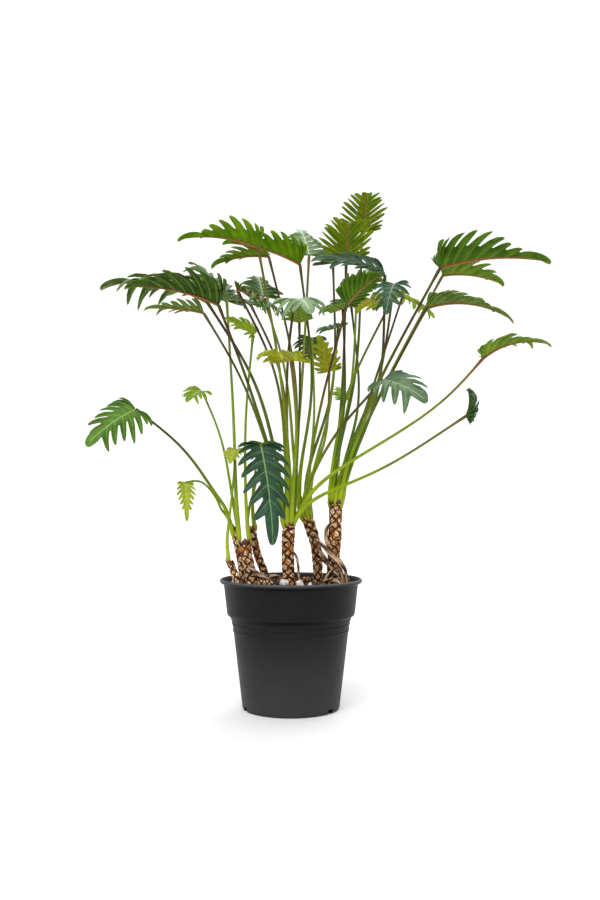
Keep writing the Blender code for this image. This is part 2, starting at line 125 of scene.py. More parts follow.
LEAVES: tuple[Leaf, ...] = (
    Leaf(1, "e", (-0.12, -0.03, 0.675), (-0.068, -0.03, 0.537), (-0.272, -0.06, 0.699), 0.125, 30, 0, 52,
         Tone.DEEP, Flush.SHADE, 9, 0.5, 1.15, 0.3, 92),
    Leaf(2, "e", (-0.138, -0.1, 0.65), (-0.076, -0.065, 0.542), (-0.228, -0.14, 0.65), 0.06, 20, 15, 42,
         Tone.SOFT, Flush.SHADE, 6, 0.45, 1.1, 0.3, 62),
    Leaf(3, "e", (-0.148, 0.062, 0.697), (-0.058, 0.01, 0.546), (-0.337, 0.07, 0.726), 0.14, 40, 10, 28,
         Tone.DEEP, Flush.SHADE, 9, 0.6, 1.2, 0.4, 92),
    Leaf(4, "c", (-0.12, 0.16, 0.715), (-0.1, 0.05, 0.489), (-0.196, 0.24, 0.805), 0.105, 30, 10, 15,
         Tone.DEEP, Flush.GREEN, 8, 0.35, 0.9, 0.3, 104),
    Leaf(5, "e", (-0.055, -0.01, 0.774), (-0.017, -0.02, 0.56), (-0.189, -0.03, 0.783), 0.093, 40, 10, 42,
         Tone.VIVID, Flush.OLIVE, 7, 0.14, 0.8, 0.8, 94),
    Leaf(6, "f", (-0.042, 0.15, 0.795), (0.008, 0.1, 0.572), (-0.15, 0.17, 0.78), 0.09, 35, 10, 36,
         Tone.MEADOW, Flush.PURPLE, 7, 0.25, 1, 0.5, 80),
    Leaf(7, "f", (0.015, 0.08, 0.766), (0.038, 0.055, 0.55), (-0.121, 0.06, 0.799), 0.094, 30, 10, 42,
         Tone.VIVID, Flush.PURPLE, 8, 0.1, 0.6, 0.6, 92),
    Leaf(8, "e", (0.032, 0.15, 0.798), (0.019, 0.06, 0.56), (0.015, 0.21, 0.863), 0.1, 20, 0, 5,
         Tone.PALE, Flush.OLIVE, 7, 0.35, 1.3, 0.3, 104),
    Leaf(9, "e", (-0.086, -0.09, 0.69), (-0.021, -0.06, 0.551), (-0.006, -0.15, 0.633), 0.07, 35, -20, 15,
         Tone.DEEP, Flush.PURPLE, 7, 0.6, 1.15, 0.2, 80),
    Leaf(10, "e", (-0.071, 0.05, 0.69), (-0.014, 0.02, 0.559), (-0.126, 0.13, 0.714), 0.08, 25, 10, 15,
         Tone.SAGE, Flush.PURPLE, 7, 0.35, 0.9, 0.3, 104),
    Leaf(11, "f", (-0.055, 0.19, 0.73), (-0.01, 0.12, 0.58), (-0.07, 0.27, 0.785), 0.085, 25, 10, 10,
         Tone.DEEP, Flush.OLIVE, 7, 0.35, 0.9, 0.3, 104),
    Leaf(12, "e", (0.014, 0.0, 0.65), (0.015, 0.0, 0.52), (0.009, -0.075, 0.671), 0.06, 30, 0, 8,
         Tone.MEADOW, Flush.SHADE, 6, 0.55, 0.6, 0.3, 70),
    Leaf(13, "e", (0.007, -0.14, 0.664), (-0.006, -0.09, 0.561), (0.031, -0.208, 0.634), 0.085, 50, 5, 5,
         Tone.PALE, Flush.PURPLE, 6, 0.5, 1, 0.2, 118),
    Leaf(14, "c", (-0.064, 0.0, 0.63), (-0.077, 0.0, 0.487), (-0.112, -0.005, 0.658), 0.06, 25, 15, 20,
         Tone.FRESH, Flush.GREEN, 7, 0.3, 0.9, 0.3, 104),
    Leaf(15, "e", (0.001, -0.12, 0.572), (0.01, -0.07, 0.466), (-0.036, -0.18, 0.581), 0.08, 30, 0, 8,
         Tone.GOLD, Flush.RED, 7, 0.35, 0.8, 0.3, 110),
    Leaf(16, "g", (0.127, 0.12, 0.833), (0.115, 0.07, 0.578), (0.133, 0.04, 0.883), 0.088, 35, 0, 22,
         Tone.LIME, Flush.SHADE, 9, 0.05, 1.1, 0.1, 100),
    Leaf(17, "g", (0.096, 0.06, 0.766), (0.089, 0.035, 0.549), (0.096, -0.01, 0.818), 0.105, 35, 0, 32,
         Tone.LIME, Flush.SHADE, 9, 0.05, 1.05, 0.1, 100),
    Leaf(18, "g", (0.158, -0.175, 0.682), (0.141, -0.085, 0.538), (0.142, -0.22, 0.63), 0.055, 30, 0, 15,
         Tone.NIGHT, Flush.PURPLE, 5, 0.45, 1, 0.1, 104),
    Leaf(19, "f", (0.089, -0.12, 0.66), (0.049, -0.06, 0.507), (0.142, -0.145, 0.702), 0.072, 40, -30, 30,
         Tone.LUSH, Flush.PURPLE, 8, 0.12, 0.45, 0.4, 84),
    Leaf(20, "g", (0.172, 0.03, 0.692), (0.094, 0.02, 0.53), (0.102, -0.05, 0.675), 0.08, 25, 20, 8,
         Tone.GOLD, Flush.OLIVE, 7, 0.2, 0.6, 0.3, 104),
    Leaf(21, "g", (0.252, 0.0, 0.743), (0.15, 0.0, 0.554), (0.444, 0.02, 0.757), 0.122, 30, -8, 46,
         Tone.LUSH, Flush.SHADE, 8, 0.12, 0.85, 0.75, 96),
    Leaf(22, "g", (0.27, 0.095, 0.75), (0.168, 0.055, 0.562), (0.383, 0.115, 0.736), 0.09, 35, -8, 44,
         Tone.MEADOW, Flush.OLIVE, 6, 0.2, 0.75, 0.3, 82),
    Leaf(23, "g", (0.22, -0.08, 0.663), (0.152, -0.04, 0.533), (0.355, -0.11, 0.634), 0.078, 55, 0, 34,
         Tone.SOFT, Flush.SHADE, 8, 0.22, 0.6, 0.4, 80),
    Leaf(24, "g", (0.202, 0.14, 0.719), (0.145, 0.07, 0.553), (0.265, 0.165, 0.686), 0.07, 30, 10, 10,
         Tone.FRESH, Flush.SHADE, 7, 0.4, 0.9, 0.3, 104),
    Leaf(25, "e", (0.317, -0.05, 0.586), (0.235, -0.056, 0.5), (0.424, -0.07, 0.603), 0.08, 60, -5, 30,
         Tone.MEADOW, Flush.RED, 7, 0.35, 0.8, 0.6, 104),
    Leaf(26, "e", (0.276, -0.12, 0.485), (0.151, -0.09, 0.404), (0.277, -0.13, 0.527), 0.07, 45, -110, 35,
         Tone.BLUE, Flush.OLIVE, 7, 0.3, 0.9, 0.3, 104),
    Leaf(27, "f", (0.142, -0.17, 0.537), (0.071, -0.09, 0.457), (0.202, -0.225, 0.5), 0.085, 35, 30, 8,
         Tone.SAGE, Flush.PURPLE, 5, 0.4, 0.95, 0.15, 96),
    Leaf(28, "f", (0.066, 0.05, 0.574), (0.06, 0.04, 0.454), (0.046, 0.012, 0.632), 0.052, 20, 20, 12,
         Tone.GOLD, Flush.RED, 6, 0.2, 0.8, 0.3, 104),
    Leaf(29, "f", (0.084, 0.12, 0.661), (0.068, 0.08, 0.509), (0.047, 0.07, 0.65), 0.055, 25, 10, 10,
         Tone.SAGE, Flush.GREEN, 6, 0.35, 0.9, 0.3, 104),
    Leaf(30, "g", (0.088, 0.01, 0.675), (0.092, 0.015, 0.523), (0.051, -0.05, 0.667), 0.06, 30, 10, 10,
         Tone.MEADOW, Flush.SHADE, 7, 0.35, 0.9, 0.3, 104),
    Leaf(31, "f", (0.038, 0.2, 0.653), (0.041, 0.105, 0.488), (0.027, 0.26, 0.614), 0.065, 30, 0, 10,
         Tone.BLUE, Flush.GREEN, 6, 0.35, 0.9, 0.3, 104),
    Leaf(32, "b", (-0.259, -0.02, 0.503), (-0.178, -0.01, 0.435), (-0.332, -0.07, 0.441), 0.095, 30, -40, 8,
         Tone.MEADOW, Flush.PURPLE, 7, 0.4, 1, 0.3, 100),
    Leaf(33, "b", (-0.155, 0.05, 0.539), (-0.119, 0.03, 0.453), (-0.177, 0.0, 0.518), 0.045, 40, -20, 20,
         Tone.FRESH, Flush.GREEN, 6, 0.5, 0.8, 0.3, 104),
    Leaf(34, "b", (-0.173, -0.05, 0.38), (-0.146, -0.03, 0.383), (-0.168, -0.07, 0.318), 0.032, 20, 0, 15,
         Tone.GOLD, Flush.GREEN, 7, 0.15, 0.8, 0.3, 104),
    Leaf(35, "a", (-0.092, -0.02, 0.436), (-0.098, -0.025, 0.359), (-0.1, -0.05, 0.412), 0.035, 30, 0, 10,
         Tone.GOLD, Flush.GREEN, 6, 0.15, 0.6, 0.3, 104),
    Leaf(36, "d", (-0.047, -0.1, 0.439), (-0.06, -0.05, 0.388), (-0.026, -0.15, 0.284), 0.088, 25, 0, 8,
         Tone.NIGHT, Flush.GREEN, 7, 0.3, 1.05, -0.1, 106),
    Leaf(37, "d", (-0.05, 0.04, 0.449), (-0.059, 0.03, 0.385), (-0.038, 0.1, 0.403), 0.06, 30, 0, 8,
         Tone.DEEP, Flush.GREEN, 7, 0.35, 0.9, 0.3, 104),
    Leaf(38, "g", (0.096, 0.2, 0.536), (0.087, 0.11, 0.438), (0.086, 0.23, 0.565), 0.035, 20, 0, 10,
         Tone.FRESH, Flush.GREEN, 5, 0.3, 0.8, 0.3, 104),
    Leaf(39, "f", (0.078, 0.22, 0.798), (0.078, 0.16, 0.56), (0.104, 0.3, 0.861), 0.09, 25, 0, 8,
         Tone.DEEP, Flush.SHADE, 8, 0.35, 0.9, 0.3, 104),
    Leaf(40, "g", (0.12, 0.16, 0.736), (0.108, 0.1, 0.555), (0.155, 0.26, 0.797), 0.09, 25, 0, 8,
         Tone.DEEP, Flush.GREEN, 8, 0.35, 0.9, 0.3, 104),
    Leaf(41, "g", (0.114, 0.25, 0.724), (0.125, 0.15, 0.533), (0.13, 0.37, 0.755), 0.09, 25, 0, 8,
         Tone.MEADOW, Flush.SHADE, 8, 0.35, 0.9, 0.3, 104),
    Leaf(42, "g", (0.152, -0.08, 0.715), (0.146, -0.05, 0.536), (0.033, -0.1, 0.736), 0.095, 30, -32, 22,
         Tone.NIGHT, Flush.SHADE, 5, 0.3, 1.35, 0.2, 70),
)


@dataclass(frozen=True)
class Stem:
    """One upright stem: its foot, middle and top, and its radius at the foot and the top."""

    letter: str
    foot: Point
    middle: Point
    top: Point
    low: float
    high: float

    @property
    def crown(self) -> Vector:
        """The middle of its top."""
        return Vector(self.top)

    @property
    def up(self) -> Vector:
        """The direction of its upper half."""
        return (self.crown - Vector(self.middle)).normalized()


STEMS: tuple[Stem, ...] = (
    Stem("a", (-0.084, -0.046, 0.209), (-0.092, -0.045, 0.229), (-0.101, -0.042, 0.25), 0.006, 0.006),
    Stem("b", (-0.08, 0.02, 0.209), (-0.087, 0.02, 0.257), (-0.097, 0.02, 0.3), 0.007, 0.008),
    Stem("c", (-0.064, -0.017, 0.209), (-0.073, -0.016, 0.255), (-0.078, -0.015, 0.283), 0.01, 0.009),
    Stem("d", (-0.04, 0.04, 0.209), (-0.059, 0.037, 0.259), (-0.069, 0.033, 0.304), 0.007, 0.007),
    Stem("e", (-0.003, -0.03, 0.209), (-0.005, -0.03, 0.265), (-0.003, -0.03, 0.315), 0.01, 0.0105),
    Stem("f", (0.046, 0.032, 0.209), (0.043, 0.031, 0.268), (0.025, 0.03, 0.327), 0.008, 0.01),
    Stem("g", (0.069, 0.0, 0.209), (0.074, 0.0, 0.29), (0.076, 0.0, 0.35), 0.01, 0.0115),
)


@dataclass(frozen=True)
class Root:
    """One bare root or creeping stem: its name, radius, number of twisted strands and route.

    It stands for the solid of its name, unless it is a side root, which is too fine for one.
    """

    name: str
    radius: float
    strands: int
    route: tuple[Point, ...]


ROOTS: tuple[Root, ...] = (
    Root("root_1", 0.0034, 2, ((0.069, -0.008, 0.312), (0.06, -0.014, 0.303), (0.059, -0.017, 0.284),
        (0.068, -0.02, 0.266), (0.083, -0.023, 0.247), (0.092, -0.024, 0.23), (0.093, -0.024, 0.2))),
    Root("root_2", 0.0030, 2, ((0.0385, 0.026, 0.293), (0.043, 0.014, 0.284), (0.05, -0.012, 0.279),
        (0.064, -0.03, 0.264), (0.078, -0.034, 0.246), (0.085, -0.035, 0.229), (0.086, -0.035, 0.2))),
    Root("root_3", 0.0022, 1, ((0.001, -0.032, 0.268), (0.009, -0.038, 0.258), (0.0125, -0.042, 0.238),
        (0.012, -0.042, 0.2))),
    Root("runner_1", 0.0048, 1, ((-0.058, -0.06, 0.2145), (-0.043, -0.062, 0.2165),
        (-0.028, -0.058, 0.2145))),
    Root("runner_2", 0.0045, 1, ((0.014, 0.0, 0.2142), (0.024, 0.004, 0.2165), (0.033, 0.013, 0.2145))),
    Root("side_root_1", 0.0024, 2, ((0.044, 0.022, 0.272), (0.05, -0.004, 0.264), (0.063, -0.018, 0.246),
        (0.072, -0.028, 0.231), (0.084, -0.042, 0.219), (0.088, -0.046, 0.2))),
    Root("side_root_2", 0.0030, 1, ((0.052, 0.0, 0.214), (0.056, -0.02, 0.219), (0.068, -0.026, 0.232),
        (0.079, -0.022, 0.236), (0.088, -0.014, 0.222), (0.09, -0.012, 0.2))),
    Root("side_root_3", 0.0034, 2, ((0.048, -0.012, 0.206), (0.058, -0.034, 0.217), (0.07, -0.044, 0.22),
        (0.08, -0.05, 0.215), (0.086, -0.054, 0.2))),
    Root("side_root_4", 0.0028, 2, ((-0.071, -0.016, 0.246), (-0.066, -0.032, 0.238),
        (-0.052, -0.042, 0.229), (-0.036, -0.048, 0.219), (-0.03, -0.05, 0.2))),
    Root("side_root_5", 0.0034, 1, ((-0.044, 0.032, 0.216), (-0.034, 0.014, 0.2205),
        (-0.018, 0.006, 0.2195), (-0.004, 0.004, 0.2155), (0.0, 0.002, 0.2))),
    Root("side_root_6", 0.0026, 1, ((0.052, 0.018, 0.25), (0.066, 0.018, 0.238), (0.082, 0.012, 0.228),
        (0.096, 0.004, 0.216), (0.098, 0.0, 0.2))),
)


class Value:
    """A shader number that takes Python arithmetic."""

    def __init__(self, recipe: "Recipe", socket: bpy.types.NodeSocket) -> None:
        """Wrap a socket.

        Args:
            recipe: The material's node tree.
            socket: The output socket that holds the number.
        """
        self.recipe = recipe
        self.socket = socket

    def __add__(self, other: "Value | float") -> "Value":
        """This plus the other."""
        return self.recipe.math("ADD", self, other)

    def __sub__(self, other: "Value | float") -> "Value":
        """This less the other."""
        return self.recipe.math("SUBTRACT", self, other)

    def __rsub__(self, other: float) -> "Value":
        """The other less this."""
        return self.recipe.math("SUBTRACT", other, self)

    def __mul__(self, other: "Value | float") -> "Value":
        """This times the other."""
        return self.recipe.math("MULTIPLY", self, other)

    def __truediv__(self, other: "Value | float") -> "Value":
        """This over the other."""
        return self.recipe.math("DIVIDE", self, other)

    def __abs__(self) -> "Value":
        """This without its sign."""
        return self.recipe.math("ABSOLUTE", self)

    __radd__ = __add__
    __rmul__ = __mul__


class Recipe:
    """A material and its nodes."""

    def __init__(self, name: str) -> None:
        """Start a material.

        Args:
            name: The material's name.
        """
        self.material = bpy.data.materials.new(name)
        self.material.use_nodes = True
        self.tree = self.material.node_tree
        self.shader = self.tree.nodes["Principled BSDF"]

    def node(self, kind: str, settings: dict | None = None, inputs: dict | None = None) -> bpy.types.Node:
        """Add a node.

        Args:
            kind: The node's type.
            settings: Its properties, and a ramp's stops under "stops".
            inputs: Values or links by socket name or number.

        Returns:
            The node.
        """
        made = self.tree.nodes.new(kind)
        for key, value in (settings or {}).items():
            if key == "stops":
                self._stops(made.color_ramp, value)
            else:
                setattr(made, key, value)
        for key, value in (inputs or {}).items():
            self.feed(made.inputs[key], value)
        return made

    def _stops(self, ramp: bpy.types.ColorRamp, stops: Sequence[tuple[float, Colour]]) -> None:
        """Set a ramp's stops.

        Args:
            ramp: The ramp.
            stops: Each stop's place and colour.
        """
        while len(ramp.elements) < len(stops):
            ramp.elements.new(0.5)
        for stop, (at, colour) in zip(ramp.elements, stops):
            stop.position = at
            stop.color = (*colour, 1.0)

    def feed(self, socket: bpy.types.NodeSocket, value: object) -> None:
        """Link or set a socket.

        Args:
            socket: The input socket.
            value: A Value, a socket, a colour or a number.
        """
        if isinstance(value, Value):
            self.tree.links.new(value.socket, socket)
        elif isinstance(value, bpy.types.NodeSocket):
            self.tree.links.new(value, socket)
        elif isinstance(value, tuple) and socket.type == "RGBA" and len(value) == 3:
            socket.default_value = (*value, 1.0)
        else:
            socket.default_value = value

    def math(self, operation: str, first: "Value | float", second: "Value | float" = 0.0) -> Value:
        """What a Math node's operation makes of one or two numbers."""
        made = self.node("ShaderNodeMath", {"operation": operation}, {0: first, 1: second})
        return Value(self, made.outputs[0])

    def step(self, value: Value, low: float, high: float) -> Value:
        """A smooth step from 0 at low to 1 at high.

        Args:
            value: The number.
            low: Where it begins.
            high: Where it ends.

        Returns:
            The step.
        """
        settings = {"interpolation_type": "SMOOTHSTEP"}
        made = self.node("ShaderNodeMapRange", settings, {0: value, 1: low, 2: high, 3: 0.0, 4: 1.0})
        return Value(self, made.outputs[0])

    def mix(self, share: Value | float, first: object, second: object) -> bpy.types.NodeSocket:
        """The first colour, with a share of the second over it."""
        settings = {"data_type": "RGBA", "clamp_factor": True}
        return self.node("ShaderNodeMix", settings, {0: share, 6: first, 7: second}).outputs[2]

    def ramp(self, value: Value, stops: Sequence[tuple[float, Colour]]) -> bpy.types.NodeSocket:
        """A colour from a number, by stops of a place and a colour."""
        return self.node("ShaderNodeValToRGB", {"stops": stops}, {0: value}).outputs[0]

    def place(self) -> bpy.types.NodeSocket:
        """The surface's place in the object's own frame."""
        return self.node("ShaderNodeTexCoord").outputs["Object"]

    def stretched(self, vector: bpy.types.NodeSocket, scale: Point) -> bpy.types.NodeSocket:
        """A place stretched by a factor for each axis."""
        return self.node("ShaderNodeMapping", {}, {"Vector": vector, "Scale": scale}).outputs[0]

    def noise(self, vector: bpy.types.NodeSocket, scale: float, detail: float = 3.0,
              rough: float = 0.5) -> Value:
        """Cloudy noise about 0.5, of some fineness, octaves and strength of the finer octaves."""
        inputs = {"Vector": vector, "Scale": scale, "Detail": detail, "Roughness": rough}
        return Value(self, self.node("ShaderNodeTexNoise", {}, inputs).outputs[0])

    def cells(self, vector: bpy.types.NodeSocket, scale: float) -> Value:
        """Distance from the middle of the nearest cell."""
        made = self.node("ShaderNodeTexVoronoi", {}, {"Vector": vector, "Scale": scale})
        return Value(self, made.outputs["Distance"])

    def chart(self, name: str) -> tuple[Value, Value, bpy.types.NodeSocket]:
        """The two numbers of a UV map.

        Args:
            name: The map's name.

        Returns:
            The first number, the second and the map's socket.
        """
        source = self.node("ShaderNodeUVMap", {"uv_map": name}).outputs[0]
        parts = self.node("ShaderNodeSeparateXYZ", {}, {0: source})
        return Value(self, parts.outputs[0]), Value(self, parts.outputs[1]), source

    def finish(self, colour: object, roughness: object, height: Value | None = None,
               depth: float = 0.0, gloss: float = 0.5) -> bpy.types.Material:
        """Join the colour, the roughness and the relief to the shader.

        Args:
            colour: The colour.
            roughness: The roughness.
            height: The relief, or None.
            depth: How deep the relief is, in metres.
            gloss: The strength of the mirror-like part, 0.5 for most things.

        Returns:
            The material.
        """
        self.shader.inputs["Specular IOR Level"].default_value = gloss
        self.feed(self.shader.inputs["Base Color"], colour)
        self.feed(self.shader.inputs["Roughness"], roughness)
        if height is not None:
            bump = self.node("ShaderNodeBump", {}, {"Height": height, "Distance": depth, "Strength": 1.0})
            self.feed(self.shader.inputs["Normal"], bump.outputs[0])
        return self.material


@dataclass(frozen=True)
class BladeFinish:
    """One side of a leaf's blade."""

    name: str
    body: Colour
    shade: Colour
    vein: Colour
    rib: Colour
    roughness: float
    vein_share: float
    gloss: float
    lines: int = 4
    relief: float = 0.0004

    def made(self) -> bpy.types.Material:
        """Make the material, with its veins, pleats and clouded green, and painted shade towards each lobe's
        sides.

        Returns:
            The material.
        """
        r = Recipe(self.name)
        lobe, out, _ = r.chart("veins")
        _, edge, _ = r.chart("edges")
        where = r.place()
        aside = abs(r.math("FRACT", lobe) - 0.5)
        vein = (1.0 - r.step(aside, 0.010, 0.050)) * (1.0 - edge * 0.6)
        rib = 1.0 - r.step(out, 0.09, 0.19)
        cloud = r.noise(where, 38.0, 4.0, 0.6)
        mottle = r.noise(where, 420.0, 2.0, 0.6)
        fine = r.math("SINE", lobe * (TURN * self.lines)) * 0.5 + 0.5
        pleat = r.step(aside, 0.05, 0.5)
        colour = r.mix(r.step(cloud + (mottle - 0.5) * 0.10, 0.3, 0.72), self.shade, self.body)
        # Painted shade: each lobe is darker towards its sides, away from its pale vein, to deepen the pleats
        colour = r.mix(pleat * 0.45, colour, self.shade)
        colour = r.mix(fine * 0.08, colour, self.vein)
        colour = r.mix(vein * self.vein_share, colour, self.vein)
        colour = r.mix(r.step(edge, 0.94, 1.0) * 0.25, colour, self.vein)
        colour = r.mix(rib, colour, self.rib)
        rough = cloud * 0.16 + (self.roughness - 0.08) + mottle * 0.06
        height = vein * -0.5 + pleat * 0.35 + fine * 0.05 + mottle * 0.02 + rib * 0.4
        return r.finish(colour, rough, height, self.relief, self.gloss)


@dataclass(frozen=True)
class StalkFinish:
    """A stalk that is bright at its foot and flushed towards its blade."""

    name: str
    stops: Stops
    # Bright green of the streaks, partly a painted highlight; the dark green below is painted shade
    bright: Colour = (0.46, 0.54, 0.05)
    shade: Colour = (0.07, 0.13, 0.006)
    fleck: Colour = (0.16, 0.13, 0.03)
    gloss: float = 0.14
    relief: float = 0.0004

    def made(self) -> bpy.types.Material:
        """Make the material, with fine streaks along the stalk, partly lightened as a painted highlight, and
        patches of painted shade.

        Returns:
            The material.
        """
        r = Recipe(self.name)
        _, along, chart = r.chart("edges")
        streaks = r.noise(r.stretched(chart, (26.0, 3.0, 1.0)), 1.0, 3.0, 0.65)
        fleck = r.noise(r.place(), 900.0, 2.0)
        shade = r.noise(r.place(), 26.0, 2.0)
        colour = r.ramp(along + (streaks - 0.5) * 0.22, self.stops)
        # Bright streaks: partly the stalk's own striping and partly a painted highlight
        colour = r.mix(r.step(streaks, 0.50, 0.70) * 0.38, colour, self.bright)
        # Painted shade: darker patches along the stalk
        colour = r.mix(r.step(shade, 0.45, 0.68) * 0.40, colour, self.shade)
        colour = r.mix(r.step(fleck, 0.62, 0.8) * 0.25, colour, self.fleck)
        return r.finish(colour, streaks * 0.2 + 0.24, streaks + fleck * 0.3, self.relief, self.gloss)


@dataclass(frozen=True)
class BarkFinish:
    """Stem bark, with a pale eye-shaped scar in each diamond cushion."""

    name: str = "scarred_bark"
    dark: Colour = (0.13, 0.037, 0.012)
    warm: Colour = (0.84, 0.360, 0.120)
    stain: Colour = (0.085, 0.028, 0.012)
    scar: Colour = (0.98, 0.76, 0.50)
    ring: Colour = (0.050, 0.018, 0.008)
    groove: Colour = (0.014, 0.005, 0.003)
    pith: Colour = (0.36, 0.125, 0.045)
    gloss: float = 0.12
    relief: float = 0.0016

    def made(self) -> bpy.types.Material:
        """Make the material, whose scars follow the stem's own chart.

        Returns:
            The material.
        """
        r = Recipe(self.name)
        around, along, _ = r.chart("edges")
        where = r.place()
        grain = r.noise(where, 300.0, 4.0, 0.7)
        patch = r.noise(where, 70.0, 3.0, 0.6)
        bend_a = (r.noise(where, 80.0, 3.0) - 0.5) * 1.0
        bend_b = (r.noise(where, 95.0, 3.0) - 0.5) * 0.9
        around, along = around + bend_a, along + bend_b
        side = abs(r.math("FRACT", around) - 0.5) * 2.0
        rise = abs(r.math("FRACT", along) - 0.5) * 2.0
        edge = r.math("MINIMUM", side + rise, 2.0 - (side + rise))
        first, luck = self._eye(r, around, along)
        second, fate = self._eye(r, around + 0.5, along + 0.5)
        eye = r.math("MINIMUM", first, second)
        ours, theirs = r.math("LESS_THAN", first, second), r.math("LESS_THAN", second, first)
        fortune = r.math("MAXIMUM", luck * ours, fate * theirs)
        scar = (1.0 - r.step(eye + (grain - 0.5) * 0.5, 0.66, 0.92)) * r.step(fortune, 0.18, 0.55)
        pith = 1.0 - r.step(eye + (grain - 0.5) * 0.35, 0.22, 0.50)
        rim = r.step(eye, 0.72, 0.9) * (1.0 - r.step(eye, 0.95, 1.2))
        groove = r.step(edge + (grain - 0.5) * 0.25, 0.68, 0.90)
        colour = r.mix(r.step(grain, 0.34, 0.64), self.dark, self.warm)
        colour = r.mix(r.step(patch, 0.50, 0.72) * 0.4, colour, self.stain)
        colour = r.mix(scar * (grain * 0.5 + 0.65), colour, self.scar)
        colour = r.mix(rim * 0.5, colour, self.ring)
        colour = r.mix(groove * 0.95, colour, self.groove)
        colour = r.mix(pith * 0.8, colour, self.pith)
        height = scar * 0.3 + grain * 0.5 - groove * 0.9 - pith * 0.5
        return r.finish(colour, 0.66 + grain * 0.2, height, self.relief, self.gloss)

    def _eye(self, r: Recipe, around: Value, along: Value) -> tuple[Value, Value]:
        """Distance from a scar's middle in scar sizes, and the cell's chance number.

        Args:
            r: The material.
            around: Cells round the stem.
            along: Cells up the stem.

        Returns:
            The distance and the chance number.
        """
        spot = r.node("ShaderNodeCombineXYZ", {}, {0: r.math("FLOOR", around), 1: r.math("FLOOR", along)})
        dice = r.node("ShaderNodeTexWhiteNoise", {"noise_dimensions": "2D"}, {"Vector": spot.outputs[0]})
        luck = Value(r, dice.outputs["Value"])
        wide = abs(r.math("FRACT", around) - 0.5) * 3.2
        tall = abs(r.math("FRACT", along) - 0.5) * 4.4
        reach = r.math("SQRT", wide * wide + tall * tall) * 0.5 + (wide + tall) * 0.42
        return reach + (0.5 - luck) * 0.5, luck


@dataclass(frozen=True)
class RootFinish:
    """Tan root skin with long wrinkles."""

    name: str = "root_skin"
    pale: Colour = (0.60, 0.39, 0.245)
    dark: Colour = (0.040, 0.016, 0.008)
    gloss: float = 0.2
    relief: float = 0.0012

    def made(self) -> bpy.types.Material:
        """Make the material, streaked along the root, its ridges lighter and grooves darker: partly real
        streaks and partly painted highlight and shade.

        Returns:
            The material.
        """
        r = Recipe(self.name)
        around, along, chart = r.chart("edges")
        streak = r.noise(r.stretched(chart, (9.0, 5.0, 1.0)), 1.0, 4.0, 0.6)
        grain = r.noise(r.place(), 420.0, 3.0, 0.6)
        # Lighter ridges and darker grooves: partly real streaks, partly painted highlight and shade
        ridge = r.math("SINE", around * (2 * TURN) + along * 5.0 + streak * 5.0) * 0.5 + 0.5
        light = r.step(streak * 0.55 + ridge * 0.45 + (grain - 0.5) * 0.5, 0.36, 0.74)
        colour = r.mix(light, self.dark, self.pale)
        return r.finish(colour, 0.62 + grain * 0.2, streak + grain * 0.5, self.relief, self.gloss)


@dataclass(frozen=True)
class SoilFinish:
    """Moist peat and bark."""

    name: str = "peat"
    dark: Colour = (0.014, 0.007, 0.005)
    warm: Colour = (0.105, 0.043, 0.024)
    fibre: Colour = (0.26, 0.13, 0.07)
    relief: float = 0.0025

    def made(self) -> bpy.types.Material:
        """Make the material, crumbly at two sizes.

        Returns:
            The material.
        """
        r = Recipe(self.name)
        where = r.place()
        lump = r.noise(where, 130.0, 4.0, 0.7)
        crumb = r.cells(where, 330.0)
        grain = r.noise(where, 900.0, 3.0, 0.7)
        colour = r.mix(r.step(lump + (grain - 0.5) * 0.5, 0.36, 0.68), self.dark, self.warm)
        colour = r.mix(r.step(grain, 0.66, 0.78) * 0.5, colour, self.fibre)
        height = lump * 1.4 + grain * 0.5 - crumb * 0.8
        return r.finish(colour, 0.82 + grain * 0.15, height, self.relief)


@dataclass(frozen=True)
class StoneFinish:
    """Pale stones with a chalky skin."""

    name: str = "pale_stone"
    grey: Colour = (0.60, 0.55, 0.48)
    white: Colour = (0.94, 0.92, 0.88)
    stain: Colour = (0.30, 0.22, 0.15)
    relief: float = 0.0012

    def made(self) -> bpy.types.Material:
        """Make the material, stained here and there by the soil.

        Returns:
            The material.
        """
        r = Recipe(self.name)
        where = r.place()
        cloud = r.noise(where, 210.0, 4.0, 0.6)
        pit = r.noise(where, 900.0, 3.0, 0.7)
        colour = r.mix(r.step(cloud, 0.36, 0.62), self.grey, self.white)
        colour = r.mix(r.step(pit, 0.60, 0.72) * 0.6, colour, self.stain)
        return r.finish(colour, 0.6 + pit * 0.25, cloud + pit * 0.6, self.relief)


